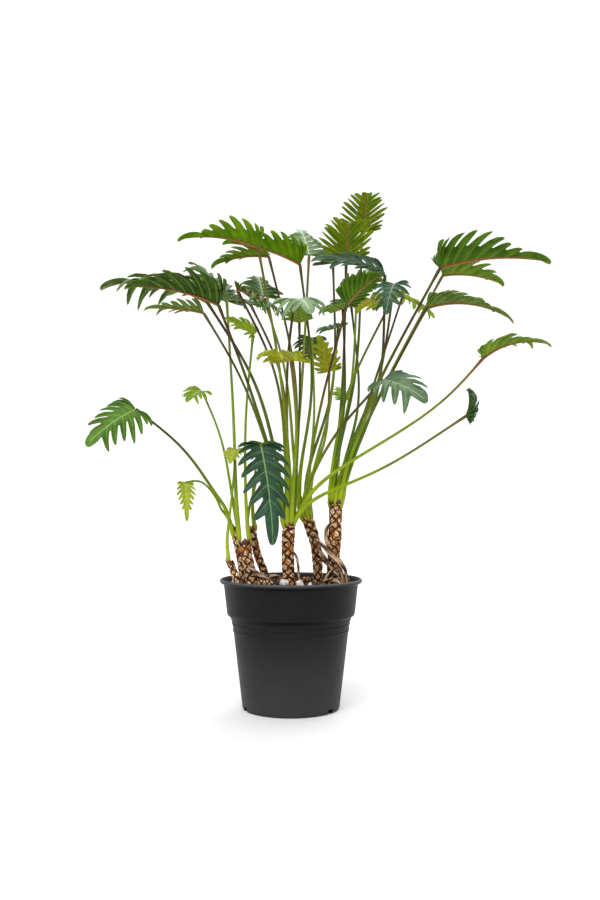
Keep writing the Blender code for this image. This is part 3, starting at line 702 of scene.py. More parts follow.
@dataclass(frozen=True)
class PotFinish:
    """Black blown plastic, dusty and scuffed and with painted light and shade, for a pot whose rim has this
    height.
    """

    rim: float
    name: str = "black_plastic"
    # Lighter colour at the foot: painted light, as from the bright floor
    foot: Colour = (0.0350, 0.0350, 0.0353)
    wall: Colour = (0.0052, 0.0052, 0.0053)
    dust: Colour = (0.0200, 0.0200, 0.0205)
    scuff: Colour = (0.045, 0.044, 0.042)
    splash: Colour = (0.060, 0.054, 0.048)
    # Lighter colour over the lip's top: a painted highlight
    lip: Colour = (0.0120, 0.0121, 0.0125)
    # Near black: painted shade in the groove under the shoulder and under the lip
    gap: Colour = (0.0003, 0.0003, 0.0003)
    # Pale grey rim crest: a painted highlight, broken up by the dust
    crest_highlight: Colour = (0.105, 0.107, 0.112)
    # Height of the shoulder's groove as a share of the rim's, where shade is painted
    groove: float = 0.709
    gloss: float = 0.12
    relief: float = 0.00022

    def made(self) -> bpy.types.Material:
        """Make the material, with a fine grain, faint drawing marks, a little dust and painted light and
        shade.

        Returns:
            The material.
        """
        r = Recipe(self.name)
        where = r.place()
        grain = r.noise(where, 1500.0, 2.0, 0.6)
        drawn = r.noise(r.stretched(where, (60.0, 60.0, 2.5)), 1.0, 3.0, 0.6)
        dust = r.noise(where, 24.0, 5.0, 0.65)
        scuff = r.noise(r.stretched(where, (90.0, 90.0, 900.0)), 1.0, 3.0, 0.7)
        height = Value(r, r.node("ShaderNodeSeparateXYZ", {}, {0: where}).outputs[2])
        low = 1.0 - r.step(height, 0.0, 0.03)
        rising = r.step(height, 0.0, 0.17)
        # Painted highlight: a lighter band over the lip's top
        lip = r.step(height, self.rim - 0.0065, self.rim - 0.0045)
        # Painted shade: the groove under the shoulder and the band under the lip
        groove = 1.0 - r.step(abs(height - self.rim * self.groove), 0.001, 0.005)
        under = 1.0 - r.step(abs(height - self.rim + 0.0082), 0.0006, 0.0022)
        crest_highlight = r.step(height + (grain - 0.5) * 0.0008, self.rim - 0.0046, self.rim - 0.0008)
        # Painted light: lighter at the foot, fading into the black wall by 0.17 m up
        colour = r.mix(rising, self.foot, self.wall)
        colour = r.mix(r.step(dust, 0.35, 0.75) * 0.2, colour, self.dust)
        colour = r.mix(r.step(scuff, 0.66, 0.8) * 0.25, colour, self.scuff)
        colour = r.mix(low * r.step(dust, 0.45, 0.7) * 0.35, colour, self.splash)
        # Painted highlight on the lip
        colour = r.mix(lip * 0.8, colour, self.lip)
        # Painted shade in both grooves
        colour = r.mix(r.math("MAXIMUM", groove, under) * 0.85, colour, self.gap)
        # Painted highlight along the rim's crest
        colour = r.mix(crest_highlight * (dust * 0.5 + 0.45), colour, self.crest_highlight)
        rough = dust * 0.22 + 0.34 + grain * 0.1 - lip * 0.12
        return r.finish(colour, rough, grain * 0.5 + drawn * 0.35, self.relief, self.gloss)


@dataclass(frozen=True)
class HuskFinish:
    """Dry papery skin of an old leaf base."""

    name: str = "dry_husk"
    stops: Stops = ((0.0, (0.045, 0.014, 0.008)), (0.5, (0.15, 0.045, 0.020)), (1.0, (0.30, 0.12, 0.050)))
    roughness: float = 0.7
    relief: float = 0.0006

    def made(self) -> bpy.types.Material:
        """Make the material, ribbed along its length.

        Returns:
            The material.
        """
        r = Recipe(self.name)
        _, along, chart = r.chart("edges")
        rib = r.noise(r.stretched(chart, (30.0, 2.0, 1.0)), 1.0, 3.0, 0.6)
        return r.finish(r.ramp(along + (rib - 0.5) * 0.5, self.stops), self.roughness, rib, self.relief)


@dataclass(frozen=True)
class FloorFinish:
    """A plain pale studio floor."""

    name: str = "studio_floor"
    dim: Colour = (0.83, 0.83, 0.83)
    pale: Colour = (0.86, 0.86, 0.86)
    roughness: float = 0.9

    def made(self) -> bpy.types.Material:
        """Make the material, matt and almost even.

        Returns:
            The material.
        """
        r = Recipe(self.name)
        cloud = r.noise(r.place(), 3.0, 2.0)
        return r.finish(r.mix(cloud, self.dim, self.pale), self.roughness)


RIB_RED: Colour = (0.300, 0.095, 0.045)
# Upper side and its shade, underside and its shade, and vein; the brighter yellow-green of some undersides is
# partly painted light, for light shining through the blade
GREENS: dict[Tone, tuple[Colour, ...]] = {
    Tone.DEEP: ((0.06, 0.15, 0.022), (0.018, 0.058, 0.008),
                (0.062, 0.122, 0.008), (0.018, 0.05, 0.003), (0.32, 0.43, 0.1)),
    Tone.VIVID: ((0.08, 0.22, 0.012), (0.036, 0.12, 0.006),
                 (0.15, 0.28, 0.002), (0.07, 0.165, 0.001), (0.24, 0.38, 0.02)),
    Tone.LUSH: ((0.08, 0.18, 0.018), (0.03, 0.09, 0.008),
                (0.068, 0.155, 0.004), (0.026, 0.08, 0.001), (0.24, 0.33, 0.05)),
    Tone.LIME: ((0.2, 0.33, 0.008), (0.1, 0.21, 0.004),
                (0.19, 0.27, 0.002), (0.085, 0.16, 0.001), (0.3, 0.33, 0.01)),
    Tone.SOFT: ((0.13, 0.23, 0.05), (0.05, 0.115, 0.018),
                (0.15, 0.225, 0.04), (0.062, 0.112, 0.014), (0.28, 0.36, 0.12)),
    Tone.NIGHT: ((0.03, 0.085, 0.048), (0.008, 0.034, 0.018),
                 (0.04, 0.105, 0.022), (0.016, 0.052, 0.01), (0.17, 0.29, 0.1)),
    Tone.MEADOW: ((0.09, 0.21, 0.018), (0.036, 0.105, 0.008),
                  (0.18, 0.285, 0.016), (0.08, 0.16, 0.005), (0.22, 0.34, 0.06)),
    Tone.BLUE: ((0.032, 0.085, 0.05), (0.01, 0.034, 0.022),
                (0.04, 0.105, 0.022), (0.016, 0.052, 0.01), (0.2, 0.32, 0.09)),
    # PALE: its grey-green upper side is partly a painted sheen, the bright room reflected on a green leaf
    Tone.PALE: ((0.205, 0.315, 0.15), (0.095, 0.18, 0.07),
                (0.16, 0.26, 0.065), (0.075, 0.15, 0.028), (0.36, 0.46, 0.24)),
    Tone.SAGE: ((0.12, 0.215, 0.095), (0.04, 0.092, 0.036),
                (0.085, 0.17, 0.032), (0.032, 0.084, 0.012), (0.22, 0.32, 0.13)),
    Tone.FRESH: ((0.24, 0.37, 0.01), (0.12, 0.24, 0.006),
                 (0.27, 0.39, 0.006), (0.14, 0.26, 0.004), (0.42, 0.52, 0.06)),
    Tone.GOLD: ((0.36, 0.42, 0.018), (0.2, 0.28, 0.008),
                (0.33, 0.35, 0.006), (0.19, 0.23, 0.003), (0.5, 0.48, 0.1)),
}
FOOT_GREEN: Colour = (0.330, 0.430, 0.010)
# Colours above the foot, by their share of the stalk
STALKS: dict[Flush, Stops] = {
    Flush.GREEN: ((0.3, (0.21, 0.32, 0.004)), (0.8, (0.13, 0.23, 0.004)), (1.0, (0.11, 0.18, 0.006))),
    Flush.OLIVE: ((0.3, (0.21, 0.31, 0.002)), (0.65, (0.14, 0.17, 0.004)), (1.0, (0.1, 0.045, 0.008))),
    Flush.PURPLE: ((0.25, (0.19, 0.285, 0.002)), (0.52, (0.095, 0.092, 0.004)),
                   (0.76, (0.046, 0.012, 0.007))),
    Flush.SHADE: ((0.18, (0.085, 0.165, 0.004)), (0.55, (0.05, 0.08, 0.005)), (0.8, (0.04, 0.011, 0.007))),
    Flush.RED: ((0.45, (0.19, 0.28, 0.004)), (0.8, (0.17, 0.14, 0.007)), (1.0, (0.16, 0.035, 0.01))),
}


# Places along one lobe's margin and along half the last one's, and from the midrib to the margin
LOBE_STEPS = (0.0, 0.035, 0.10, 0.20, 0.34, 0.5, 0.66, 0.80, 0.90, 0.965)
STRAP_STEPS = (0.0, 0.04, 0.09, 0.15, 0.22, 0.29, 0.36, 0.42, 0.47, 0.5)
HALF_STEPS = (0.0, 0.10, 0.25, 0.42, 0.60, 0.80, 1.0)
YOUNG = (Tone.FRESH, Tone.GOLD)
GLOSSY = (Tone.PALE, Tone.BLUE, Tone.SAGE)
ROUGHNESS = {Tone.PALE: 0.30, Tone.BLUE: 0.30, Tone.NIGHT: 0.42}


def plain(first: float, second: float) -> tuple[float, float]:
    """The two numbers as they are."""
    return first, second


PLAIN_CHARTS: dict[str, Spot] = {"veins": plain, "edges": plain}


def ring(turn: float, reach: float, height: float = 0.0) -> Vector:
    """A point of a level circle, at an angle in radians."""
    return Vector((reach * math.cos(turn), reach * math.sin(turn), height))


def gridded(columns: Sequence[float], rows: Sequence[float], place: Place,
            charts: dict[str, Spot]) -> bmesh.types.BMesh:
    """A grid bent into a shape.

    Args:
        columns: The first number of each column.
        rows: The second number of each row.
        place: Gives a corner's position from its two numbers.
        charts: Each UV map's name, and what gives its place.

    Returns:
        The grid, with its corners where place puts them.
    """
    bm = bmesh.new()
    bmesh.ops.create_grid(bm, x_segments=len(columns) - 1, y_segments=len(rows) - 1, size=1.0)
    keys = {}
    for corner in bm.verts:
        across, up = (corner.co.x + 1) / 2, (corner.co.y + 1) / 2
        keys[corner] = (columns[round(across * (len(columns) - 1))], rows[round(up * (len(rows) - 1))])
    for name, spot in charts.items():
        layer = bm.loops.layers.uv.new(name)
        for face in bm.faces:
            for loop in face.loops:
                loop[layer].uv = spot(*keys[loop.vert])
    for corner, key in keys.items():
        corner.co = place(*key)
    return bm


def charted() -> bmesh.types.BMesh:
    """Start a bmesh that has both UV maps.

    Returns:
        The empty bmesh.
    """
    bm = bmesh.new()
    for name in PLAIN_CHARTS:
        bm.loops.layers.uv.new(name)
    return bm


def closed(bm: bmesh.types.BMesh) -> bmesh.types.BMesh:
    """Close a rolled grid's seam and ends, with its faces out.

    Args:
        bm: The grid.

    Returns:
        The same bmesh, closed.
    """
    bmesh.ops.remove_doubles(bm, verts=bm.verts, dist=WELD)
    rims = [edge for edge in bm.edges if edge.is_boundary]
    if rims:
        bmesh.ops.holes_fill(bm, edges=rims, sides=0)
    bmesh.ops.recalc_face_normals(bm, faces=bm.faces)
    return bm


def spread(count: int, low: float = 0.0, high: float = 1.0) -> list[float]:
    """Even steps between two numbers."""
    return [low + (high - low) * number / (count - 1) for number in range(count)]


def mesh_of(bm: bmesh.types.BMesh, name: str, smooth: bool = True) -> bpy.types.Mesh:
    """A mesh from a bmesh, which it frees.

    Args:
        bm: The bmesh.
        name: The mesh's name.
        smooth: Whether its faces are shaded smooth.

    Returns:
        The mesh.
    """
    for face in bm.faces:
        face.smooth = smooth
    mesh = bpy.data.meshes.new(name)
    bm.to_mesh(mesh)
    bm.free()
    return mesh


def absorb(whole: bmesh.types.BMesh, part: bmesh.types.BMesh, slot: int = 0) -> None:
    """Add a part to a bmesh, and free the part.

    Args:
        whole: The bmesh so far.
        part: The part.
        slot: The part's material slot.
    """
    for face in part.faces:
        face.material_index = slot
    mesh = mesh_of(part, "part")
    whole.from_mesh(mesh)
    bpy.data.meshes.remove(mesh)


def evaluated(thing: bpy.types.Object) -> bpy.types.Mesh:
    """A new mesh of an object with its modifiers applied."""
    return bpy.data.meshes.new_from_object(thing.evaluated_get(bpy.context.evaluated_depsgraph_get()))


def shown(name: str, data: bpy.types.ID) -> bpy.types.Object:
    """Add an object to the scene.

    Args:
        name: The object's name.
        data: Its mesh, light or camera.

    Returns:
        The object.
    """
    made = bpy.data.objects.new(name, data)
    bpy.context.scene.collection.objects.link(made)
    return made


def piece(name: str, mesh: bpy.types.Mesh, finishes: Sequence[bpy.types.Material],
          nodes: Sequence[str] = ()) -> bpy.types.Object:
    """A finished piece that rides on the part.

    Args:
        name: The piece's name.
        mesh: Its mesh.
        finishes: Its materials, by slot.
        nodes: The solid nodes that it stands for.

    Returns:
        The piece.
    """
    made = shown(name, mesh)
    for finish in finishes:
        mesh.materials.append(finish)
    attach(made, "root")
    if nodes:
        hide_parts(*nodes)
    LOG.info("built %s with %d faces", name, len(mesh.polygons))
    return made


def curved(points: Sequence[Vector], parts: int) -> list[Vector]:
    """A Catmull-Rom line.

    Args:
        points: The points that it passes.
        parts: How many parts each span has.

    Returns:
        The line's points.
    """
    ends = [points[0] * 2 - points[1], *points, points[-1] * 2 - points[-2]]
    line = []
    for a, b, c, d in zip(ends, ends[1:], ends[2:], ends[3:]):
        for number in range(parts):
            t = number / parts
            bend, twist = 2 * a - 5 * b + 4 * c - d, 3 * b - a - 3 * c + d
            line.append(0.5 * (2 * b + (c - a) * t + bend * t * t + twist * t**3))
    return line + [points[-1]]


def evenly(line: Sequence[Vector], count: int) -> list[Vector]:
    """A line resampled at even spacing.

    Args:
        line: The line.
        count: How many points it gets.

    Returns:
        The new points.
    """
    reach = [0.0]
    for first, second in zip(line, line[1:]):
        reach.append(reach[-1] + (second - first).length)
    found, spot = [], 0
    for number in range(count):
        want = reach[-1] * number / (count - 1)
        while spot < len(line) - 2 and reach[spot + 1] < want:
            spot += 1
        share = (want - reach[spot]) / max(reach[spot + 1] - reach[spot], 1e-9)
        found.append(line[spot].lerp(line[spot + 1], min(share, 1.0)))
    return found


@dataclass
class Tube:
    """A round form along a line, whose radius may vary all over."""

    line: list[Vector]
    radius: Callable[[float, float], float]
    sides: int = 10
    unit: float = 1.0
    turns: float = 1.0
    frames: list[tuple[Vector, Vector]] = field(default_factory=list)

    def __post_init__(self) -> None:
        """Carry a cross direction along the line without twist."""
        across = Vector((0.0, -1.0, 0.0))
        for spot in range(len(self.line)):
            before = self.line[max(spot - 1, 0)]
            after = self.line[min(spot + 1, len(self.line) - 1)]
            along = (after - before).normalized()
            across = (across - along * across.dot(along)).normalized()
            self.frames.append((across.copy(), along.cross(across)))

    def corner(self, around: float, share: float) -> Vector:
        """A point of the skin.

        Args:
            around: The turn, from 0 to 1.
            share: The place along the line, from 0 to 1.

        Returns:
            The point.
        """
        spot = round(share * (len(self.line) - 1))
        first, second = self.frames[spot]
        turn = TURN * (around % 1.0)
        reach = self.radius(around % 1.0, share)
        return self.line[spot] + first * math.cos(turn) * reach + second * math.sin(turn) * reach

    def made(self) -> bmesh.types.BMesh:
        """Make the closed tube, with its chart of turns and length.

        Returns:
            The tube.
        """
        charts = {"veins": plain, "edges": lambda around, share: (around * self.turns, share * self.unit)}
        return closed(gridded(spread(self.sides + 1), spread(len(self.line)), self.corner, charts))


@dataclass
class Blade:
    """A lobed leaf blade, bent, folded and pleated from its plan."""

    plan: Leaf
    sheet: float = 0.0006
    sweep: float = 0.10
    spear: float = 0.27
    crowding: float = 1.65
    bare: float = 0.08
    lean: float = 32.0
    pinched: float = 0.30
    pleated: float = 0.026
    rippled: float = 0.045
    weld: float = 0.00002
    stoutness: float = 0.0125
    thickest: float = 0.0018
    thinnest: float = 0.00025

    def __post_init__(self) -> None:
        """Work out the blade's own frame and size."""
        plan = self.plan
        self.total = plan.lobes + 0.5
        self.base = Vector(plan.joint)
        chord = Vector(plan.tip) - self.base
        self.along = chord.normalized()
        up = Vector((0, 0, 1)) - self.along * self.along.z
        self.normal = Matrix.Rotation(math.radians(plan.roll), 3, self.along) @ up.normalized()
        self.across = self.normal.cross(self.along)
        self.bend = math.radians(plan.arch)
        self.length = chord.length * (self.bend / 2) / math.sin(self.bend / 2)
        self.fold = math.radians(plan.fold)
        chance, halves = random.Random(plan.number * 7 + 3), 2 * plan.lobes + 4
        self.lift = [chance.uniform(-1, 1) for _ in range(halves)]
        self.reach = [chance.uniform(0.92, 1.06) for _ in range(halves)]
        self.frill = 2.2 if plan.tone in YOUNG else 1.0

    def bent(self, x: float, y: float, z: float) -> Vector:
        """A place on the arched and folded blade.

        Args:
            x: Distance along the midrib.
            y: Distance to the side.
            z: Height above the sheet.

        Returns:
            The place in the model.
        """
        turn = self.bend / 2 - self.bend * x / self.length
        radius = self.length / self.bend
        forward = radius * (math.sin(self.bend / 2) - math.sin(turn))
        lift = radius * (math.cos(turn) - math.cos(self.bend / 2))
        rise = self.normal * math.cos(turn) - self.along * math.sin(turn)
        spine = self.base + self.along * forward + self.normal * lift
        side = 1.0 if y >= 0 else -1.0
        wing = self.across * math.cos(self.fold) * side + rise * math.sin(self.fold)
        over = rise * math.cos(self.fold) - self.across * math.sin(self.fold) * side
        return spine + wing * abs(y) + over * z

    def outline(self, lobe: float) -> tuple[float, float, float, float]:
        """The margin at one place.

        Args:
            lobe: The place, counted in lobes from the base.

        Returns:
            Where its ray leaves the midrib, the ray's angle, its full length and its present length.
        """
        plan = self.plan
        if lobe > plan.lobes:
            return self.strap(math.sin(math.pi * (lobe - plan.lobes)))
        u = (lobe / self.total) ** self.crowding
        origin = (1 - self.spear) * self.length * max(0.0, (u - self.bare) / (1 - self.bare))
        angle = math.radians(plan.splay - (plan.splay - self.lean) * u**0.6)
        grow = 0.84 + 0.16 * math.sin(math.pi / 2 * min(u / 0.3, 1.0))
        full = plan.width / 2 / 0.98 * (grow - (0.2 + 0.6 * plan.slim) * max(0.0, (u - 0.3) / 0.7) ** 0.95)
        wing = min(abs(2 * (lobe - math.floor(lobe)) - 1) / (0.93 - 0.10 * u), 1.0)
        shape = (1.0 - wing**2.6) ** 0.55
        depth = 0.40 + 0.24 * max(0.0, 1 - u * 5) + 0.14 * max(0.0, (u - 0.5) / 0.5)
        depth = max(1 - (1 - depth) * plan.cut, 0.2)
        return origin, angle, full, full * (depth + (1 - depth) * shape)

    def strap(self, share: float) -> tuple[float, float, float, float]:
        """The margin of the last lobe, a blunt strap.

        Args:
            share: From its root, 0, to the blade's tip, 1.

        Returns:
            The same as the outline's.
        """
        origin, angle, full, reach = self.outline(self.plan.lobes)
        x, y = origin + reach * math.cos(angle), reach * math.sin(angle)
        wide = self.plan.width * (0.140 - 0.055 * share)
        x += (self.length - x) * share
        y = wide * math.sqrt(max(0.0, 1 - share**5)) + (y - wide) * (1 - share) ** 3
        origin += ((1 - 0.3 * self.spear) * self.length - origin) * share
        reach = math.hypot(x - origin, y)
        return origin, math.atan2(y, x - origin), max(full * (1 - share) + reach * share, reach), reach

    def corner(self, lobe: float, row: float) -> Vector:
        """A point of the sheet.

        Args:
            lobe: The place along the margin, counted in lobes.
            row: From -1 at one margin, through 0 at the midrib, to 1 at the other.

        Returns:
            The point.
        """
        side, v = (1.0 if row >= 0 else -1.0), abs(row)
        number = min(int(lobe), self.plan.lobes)
        t = lobe - number
        pick = number * 2 + (1 if side > 0 else 0)
        inner = number < self.plan.lobes
        vary = 1.0 + (self.reach[pick] - 1.0) * math.sin(math.pi * t) if inner else 1.0
        lift = self.lift[pick] if inner else 0.0
        fade = 1.0 if inner else 1.0 - math.sin(math.pi * t)
        origin, angle, full, reach = self.outline(lobe)
        if inner:
            pinch = self.pinched * v * v * (1 - abs(2 * t - 1) ** 6)
            middle_origin, middle_angle, _, _ = self.outline(number + 0.5)
            origin += (middle_origin - origin) * pinch
            angle += (middle_angle - angle) * pinch
        far = v * reach * vary
        ratio = far / max(full, 1e-6)
        u = lobe / self.total
        x = origin + far * math.cos(angle)
        x += self.length * self.sweep * ratio**2.2 * math.sin(math.pi * min(u + 0.12, 1.0)) * fade
        y = far * math.sin(angle)
        pleat = math.cos(TURN * lobe)
        z = self.pleated * self.plan.width * pleat * min(ratio * 2, 1.0)
        z -= full * self.plan.droop * (0.3 + u) * ratio**2.6 * (1.0 + 0.45 * lift) * (0.4 + 0.6 * fade)
        ripple = math.sin(lobe * 4.1 + side * 1.7 + self.plan.number)
        z += full * self.rippled * self.frill * ratio**2 * ripple * fade
        return self.bent(x, side * y, z)

    def columns(self) -> list[float]:
        """The places along the margin, closer where lobes turn."""
        found = [number + part for number in range(self.plan.lobes) for part in LOBE_STEPS]
        return found + [self.plan.lobes + part for part in STRAP_STEPS]

    def made(self, upper: bpy.types.Material, under: bpy.types.Material) -> bmesh.types.BMesh:
        """The blade with its thickness.

        Args:
            upper: The material of its upper side.
            under: The material of its underside.

        Returns:
            The closed blade, upper side in slot 0 and underside in slot 1.
        """
        rows = [-value for value in reversed(HALF_STEPS[1:])] + [*HALF_STEPS]
        charts = {"veins": self.vein_place, "edges": lambda lobe, row: (lobe / self.total, abs(row))}
        bm = gridded(self.columns(), rows, self.corner, charts)
        bmesh.ops.remove_doubles(bm, verts=bm.verts, dist=self.weld)
        mesh = mesh_of(bm, "sheet")
        mesh.materials.append(upper)
        mesh.materials.append(under)
        flat = shown("sheet", mesh)
        thick = flat.modifiers.new("thickness", "SOLIDIFY")
        thick.thickness, thick.offset = self.sheet, -1.0
        thick.material_offset, thick.material_offset_rim = 1, 1
        solid = evaluated(flat)
        bpy.data.objects.remove(flat)
        full = bmesh.new()
        full.from_mesh(solid)
        bpy.data.meshes.remove(solid)
        bpy.data.meshes.remove(mesh)
        return full

    def vein_place(self, lobe: float, row: float) -> tuple[float, float]:
        """The chart that veins follow: the lobe number, and centimetres from the midrib."""
        reach = self.outline(lobe)[3]
        return lobe, abs(row) * reach * 9.0 / self.plan.width

    def rib(self) -> Tube:
        """Draw the midrib, which stands out under the blade.

        Returns:
            The midrib's tube.
        """
        thick = min(self.thickest, self.stoutness * self.length)
        line = []
        for share in spread(24):
            sunk = self.sheet + thick * (1 - share) ** 0.8 * 0.8
            line.append(self.bent(self.length * 0.93 * share, 0.0, -sunk))
        return Tube(line, lambda _, share: thick * (1 - share) ** 0.8 + self.thinnest, 8)


@dataclass
class Stalks:
    """Every leaf's stalk line, jostled apart as in the solid model."""

    lines: dict[int, list[Vector]] = field(default_factory=dict)
    rounds: int = 140
    search: float = 0.0105
    clearance: float = 0.0024

    def __post_init__(self) -> None:
        """Draw each line from its stem's crown to its joint."""
        for stem in STEMS:
            crown, up = stem.crown, stem.up
            mine = [plan for plan in LEAVES if plan.stem == stem.letter]
            slots = self._slots(len(mine), stem.high)
            mine.sort(key=lambda plan: -(Vector(plan.via) - crown).to_2d().length)
            for plan in mine:
                lean = (Vector(plan.via) - crown).to_2d()
                offset = max(slots, key=lambda spot: spot.dot(lean))
                slots.remove(offset)
                foot = crown + offset.to_3d() + up * (GAP + abs(up.x) * stem.high)
                via = Vector(plan.via)
                aim = (up * (via - foot).length + via - foot).normalized()
                foot += up * STALK_FOOT * (aim - up * aim.dot(up)).length
                rise = foot + up * (via - foot).length * 0.12 + (via - foot) * 0.12
                line = curved([foot, rise, via, Vector(plan.joint)], 8)
                self.lines[plan.number] = evenly(line, STALK_POINTS)
        self._jostle()

    def _slots(self, count: int, radius: float) -> list[Vector]:
        """Places for stalks on a crown.

        Args:
            count: How many stalks.
            radius: The crown's radius.

        Returns:
            The places, in rings.
        """
        if count == 1:
            return [Vector((0.0, 0.0))]
        pitch = 2 * STALK_FOOT + GAP
        found: list[Vector] = []
        reach, left = max(radius - STALK_FOOT * 0.4, pitch / 2), count
        while left > 0:
            room = 1 if reach < pitch / 2 else max(int(math.pi / math.asin(min(pitch / 2 / reach, 1.0))), 2)
            taken = min(left, room)
            found += [ring(TURN * number / taken, reach).to_2d() for number in range(taken)]
            left -= taken
            reach = max(reach - pitch, 0.0)
        return found

    @staticmethod
    def radius(share: float) -> float:
        """The solid stalk's radius at a share of its length."""
        return STALK_FOOT + (STALK_NECK - STALK_FOOT) * min(share * 1.4, 1.0)

    def _jostle(self) -> None:
        """Move the lines apart until no two stalks touch."""
        names = sorted(self.lines)
        for _ in range(self.rounds):
            owners = [(name, spot) for name in names for spot in range(STALK_POINTS)]
            tree = KDTree(len(owners))
            for index, (name, spot) in enumerate(owners):
                tree.insert(self.lines[name][spot], index)
            tree.balance()
            moves = {}
            for name, spot in owners:
                if 0 < spot < STALK_POINTS - 1:
                    push = self._push(tree, owners, name, spot)
                    if push is not None:
                        moves[(name, spot)] = push
            if not moves:
                break
            for (name, spot), push in moves.items():
                self.lines[name][spot] = self.lines[name][spot] + push
            for name in names:
                self._relax(self.lines[name])

    def _push(self, tree: KDTree, owners: list[tuple[int, int]], name: int, spot: int) -> Vector | None:
        """How far neighbours push one point.

        Args:
            tree: All points.
            owners: Each point's leaf and place.
            name: The leaf.
            spot: The point's place on its line.

        Returns:
            The push, or None.
        """
        here = self.lines[name][spot]
        last = STALK_POINTS - 1
        push = Vector()
        for point, other, gap in tree.find_range(here, self.search):
            rival, place = owners[other]
            if rival == name:
                continue
            want = self.radius(spot / last) + self.radius(place / last) + self.clearance
            if gap < want:
                away = (here - point) if gap > 1e-6 else Vector((0.0, 1.0 if name > rival else -1.0, 0.0))
                push += away.normalized() * (want - gap) * 0.5
        return push if push.length > 1e-6 else None

    @staticmethod
    def _relax(line: list[Vector]) -> None:
        """Smooth a line a little, with its ends kept."""
        old = list(line)
        for spot in range(1, len(line) - 1):
            line[spot] = old[spot].lerp((old[spot - 1] + old[spot + 1]) / 2, 0.25)


@dataclass
class Foliage:
    """All the leaves, each one piece of blade, midrib and stalk."""

    stalks: Stalks = field(default_factory=Stalks)

    def build(self) -> None:
        """Build and dress every leaf."""
        blades = {tone: self._sides(tone) for tone in Tone}
        foot = (0.0, FOOT_GREEN)
        skins = {flush: StalkFinish(f"stalk_{flush.value}", (foot, *STALKS[flush])).made() for flush in Flush}
        for plan in LEAVES:
            upper, under, rib = blades[plan.tone]
            self._leaf(plan, [upper, under, skins[plan.flush], rib])

    def _sides(self, tone: Tone) -> list[bpy.types.Material]:
        """The materials of a blade's two sides and its midrib.

        Args:
            tone: The leaf's tone.

        Returns:
            Upper side, underside and midrib.
        """
        upper, upper_dark, under, under_dark, vein = GREENS[tone]
        rough = ROUGHNESS.get(tone, 0.38)
        rib = tuple((a + b) / 2 for a, b in zip(RIB_RED, vein)) if tone in YOUNG else RIB_RED
        shine = 0.35 if tone in GLOSSY else 0.18
        top = BladeFinish(f"{tone.value}_upper", upper, upper_dark, vein, vein, rough, 0.70, shine)
        low = BladeFinish(f"{tone.value}_under", under, under_dark, vein, rib, 0.5, 0.62, 0.08)
        keel = StalkFinish(f"{tone.value}_rib", ((0.0, rib), (0.6, rib), (1.0, under)))
        return [top.made(), low.made(), keel.made()]

    def _leaf(self, plan: Leaf, finishes: list[bpy.types.Material]) -> None:
        """Build one leaf.

        Args:
            plan: The leaf's plan.
            finishes: Upper side, underside, stalk and midrib.
        """
        blade = Blade(plan)
        whole = blade.made(finishes[0], finishes[1])
        absorb(whole, blade.rib().made(), 3)
        absorb(whole, self._stalk(plan).made(), 2)
        number = f"{plan.number:02d}"
        piece(f"foliage_{number}", mesh_of(whole, "leaf"), finishes, [f"leaf_{number}"])

    def _stalk(self, plan: Leaf) -> Tube:
        """The stalk's tube, wide and sheathing at its foot and swollen at its joint.

        Args:
            plan: The leaf's plan.

        Returns:
            The tube.
        """
        line = evenly(self._drawn_in(plan), 46)
        size = 0.70 + 0.30 * min(plan.width / 0.10, 1.4)

        def radius(around: float, share: float) -> float:
            """The stalk's radius.

            Args:
                around: The turn, from 0 to 1.
                share: The place along the stalk, from 0 to 1.

            Returns:
                The radius, with a sheath, a swollen joint and a channel on the upper side.
            """
            sheath = 0.0013 * max(0.0, 1 - share / 0.30) ** 1.2 - 0.0022 * max(0.0, 1 - share / 0.035) ** 2
            swell = 0.0007 * math.exp(-(((share - 0.985) / 0.03) ** 2))
            channel = 1.0 - 0.10 * max(0.0, math.cos(TURN * around)) ** 6
            return (Stalks.radius(share) * 1.24 + sheath + swell) * size * channel

        return Tube(line, radius, 12)

    def _drawn_in(self, plan: Leaf) -> list[Vector]:
        """The stalk's line with its foot drawn in and let down beside the crown.

        Args:
            plan: The leaf's plan.

        Returns:
            The line.
        """
        line = list(self.stalks.lines[plan.number])
        stem = next(one for one in STEMS if one.letter == plan.stem)
        up, out = stem.up, line[0] - stem.crown
        out -= up * out.dot(up)
        if out.length < 0.3 * stem.high:
            return [line[0] - up * 0.004] + line
        out.normalize()
        rim = stem.crown + out * stem.high * 0.86
        down = 0.004 + 0.009 * ((plan.number * 7) % 5) / 4
        return [rim - up * down, rim + out * 0.0010 - up * 0.001] + line[1:]


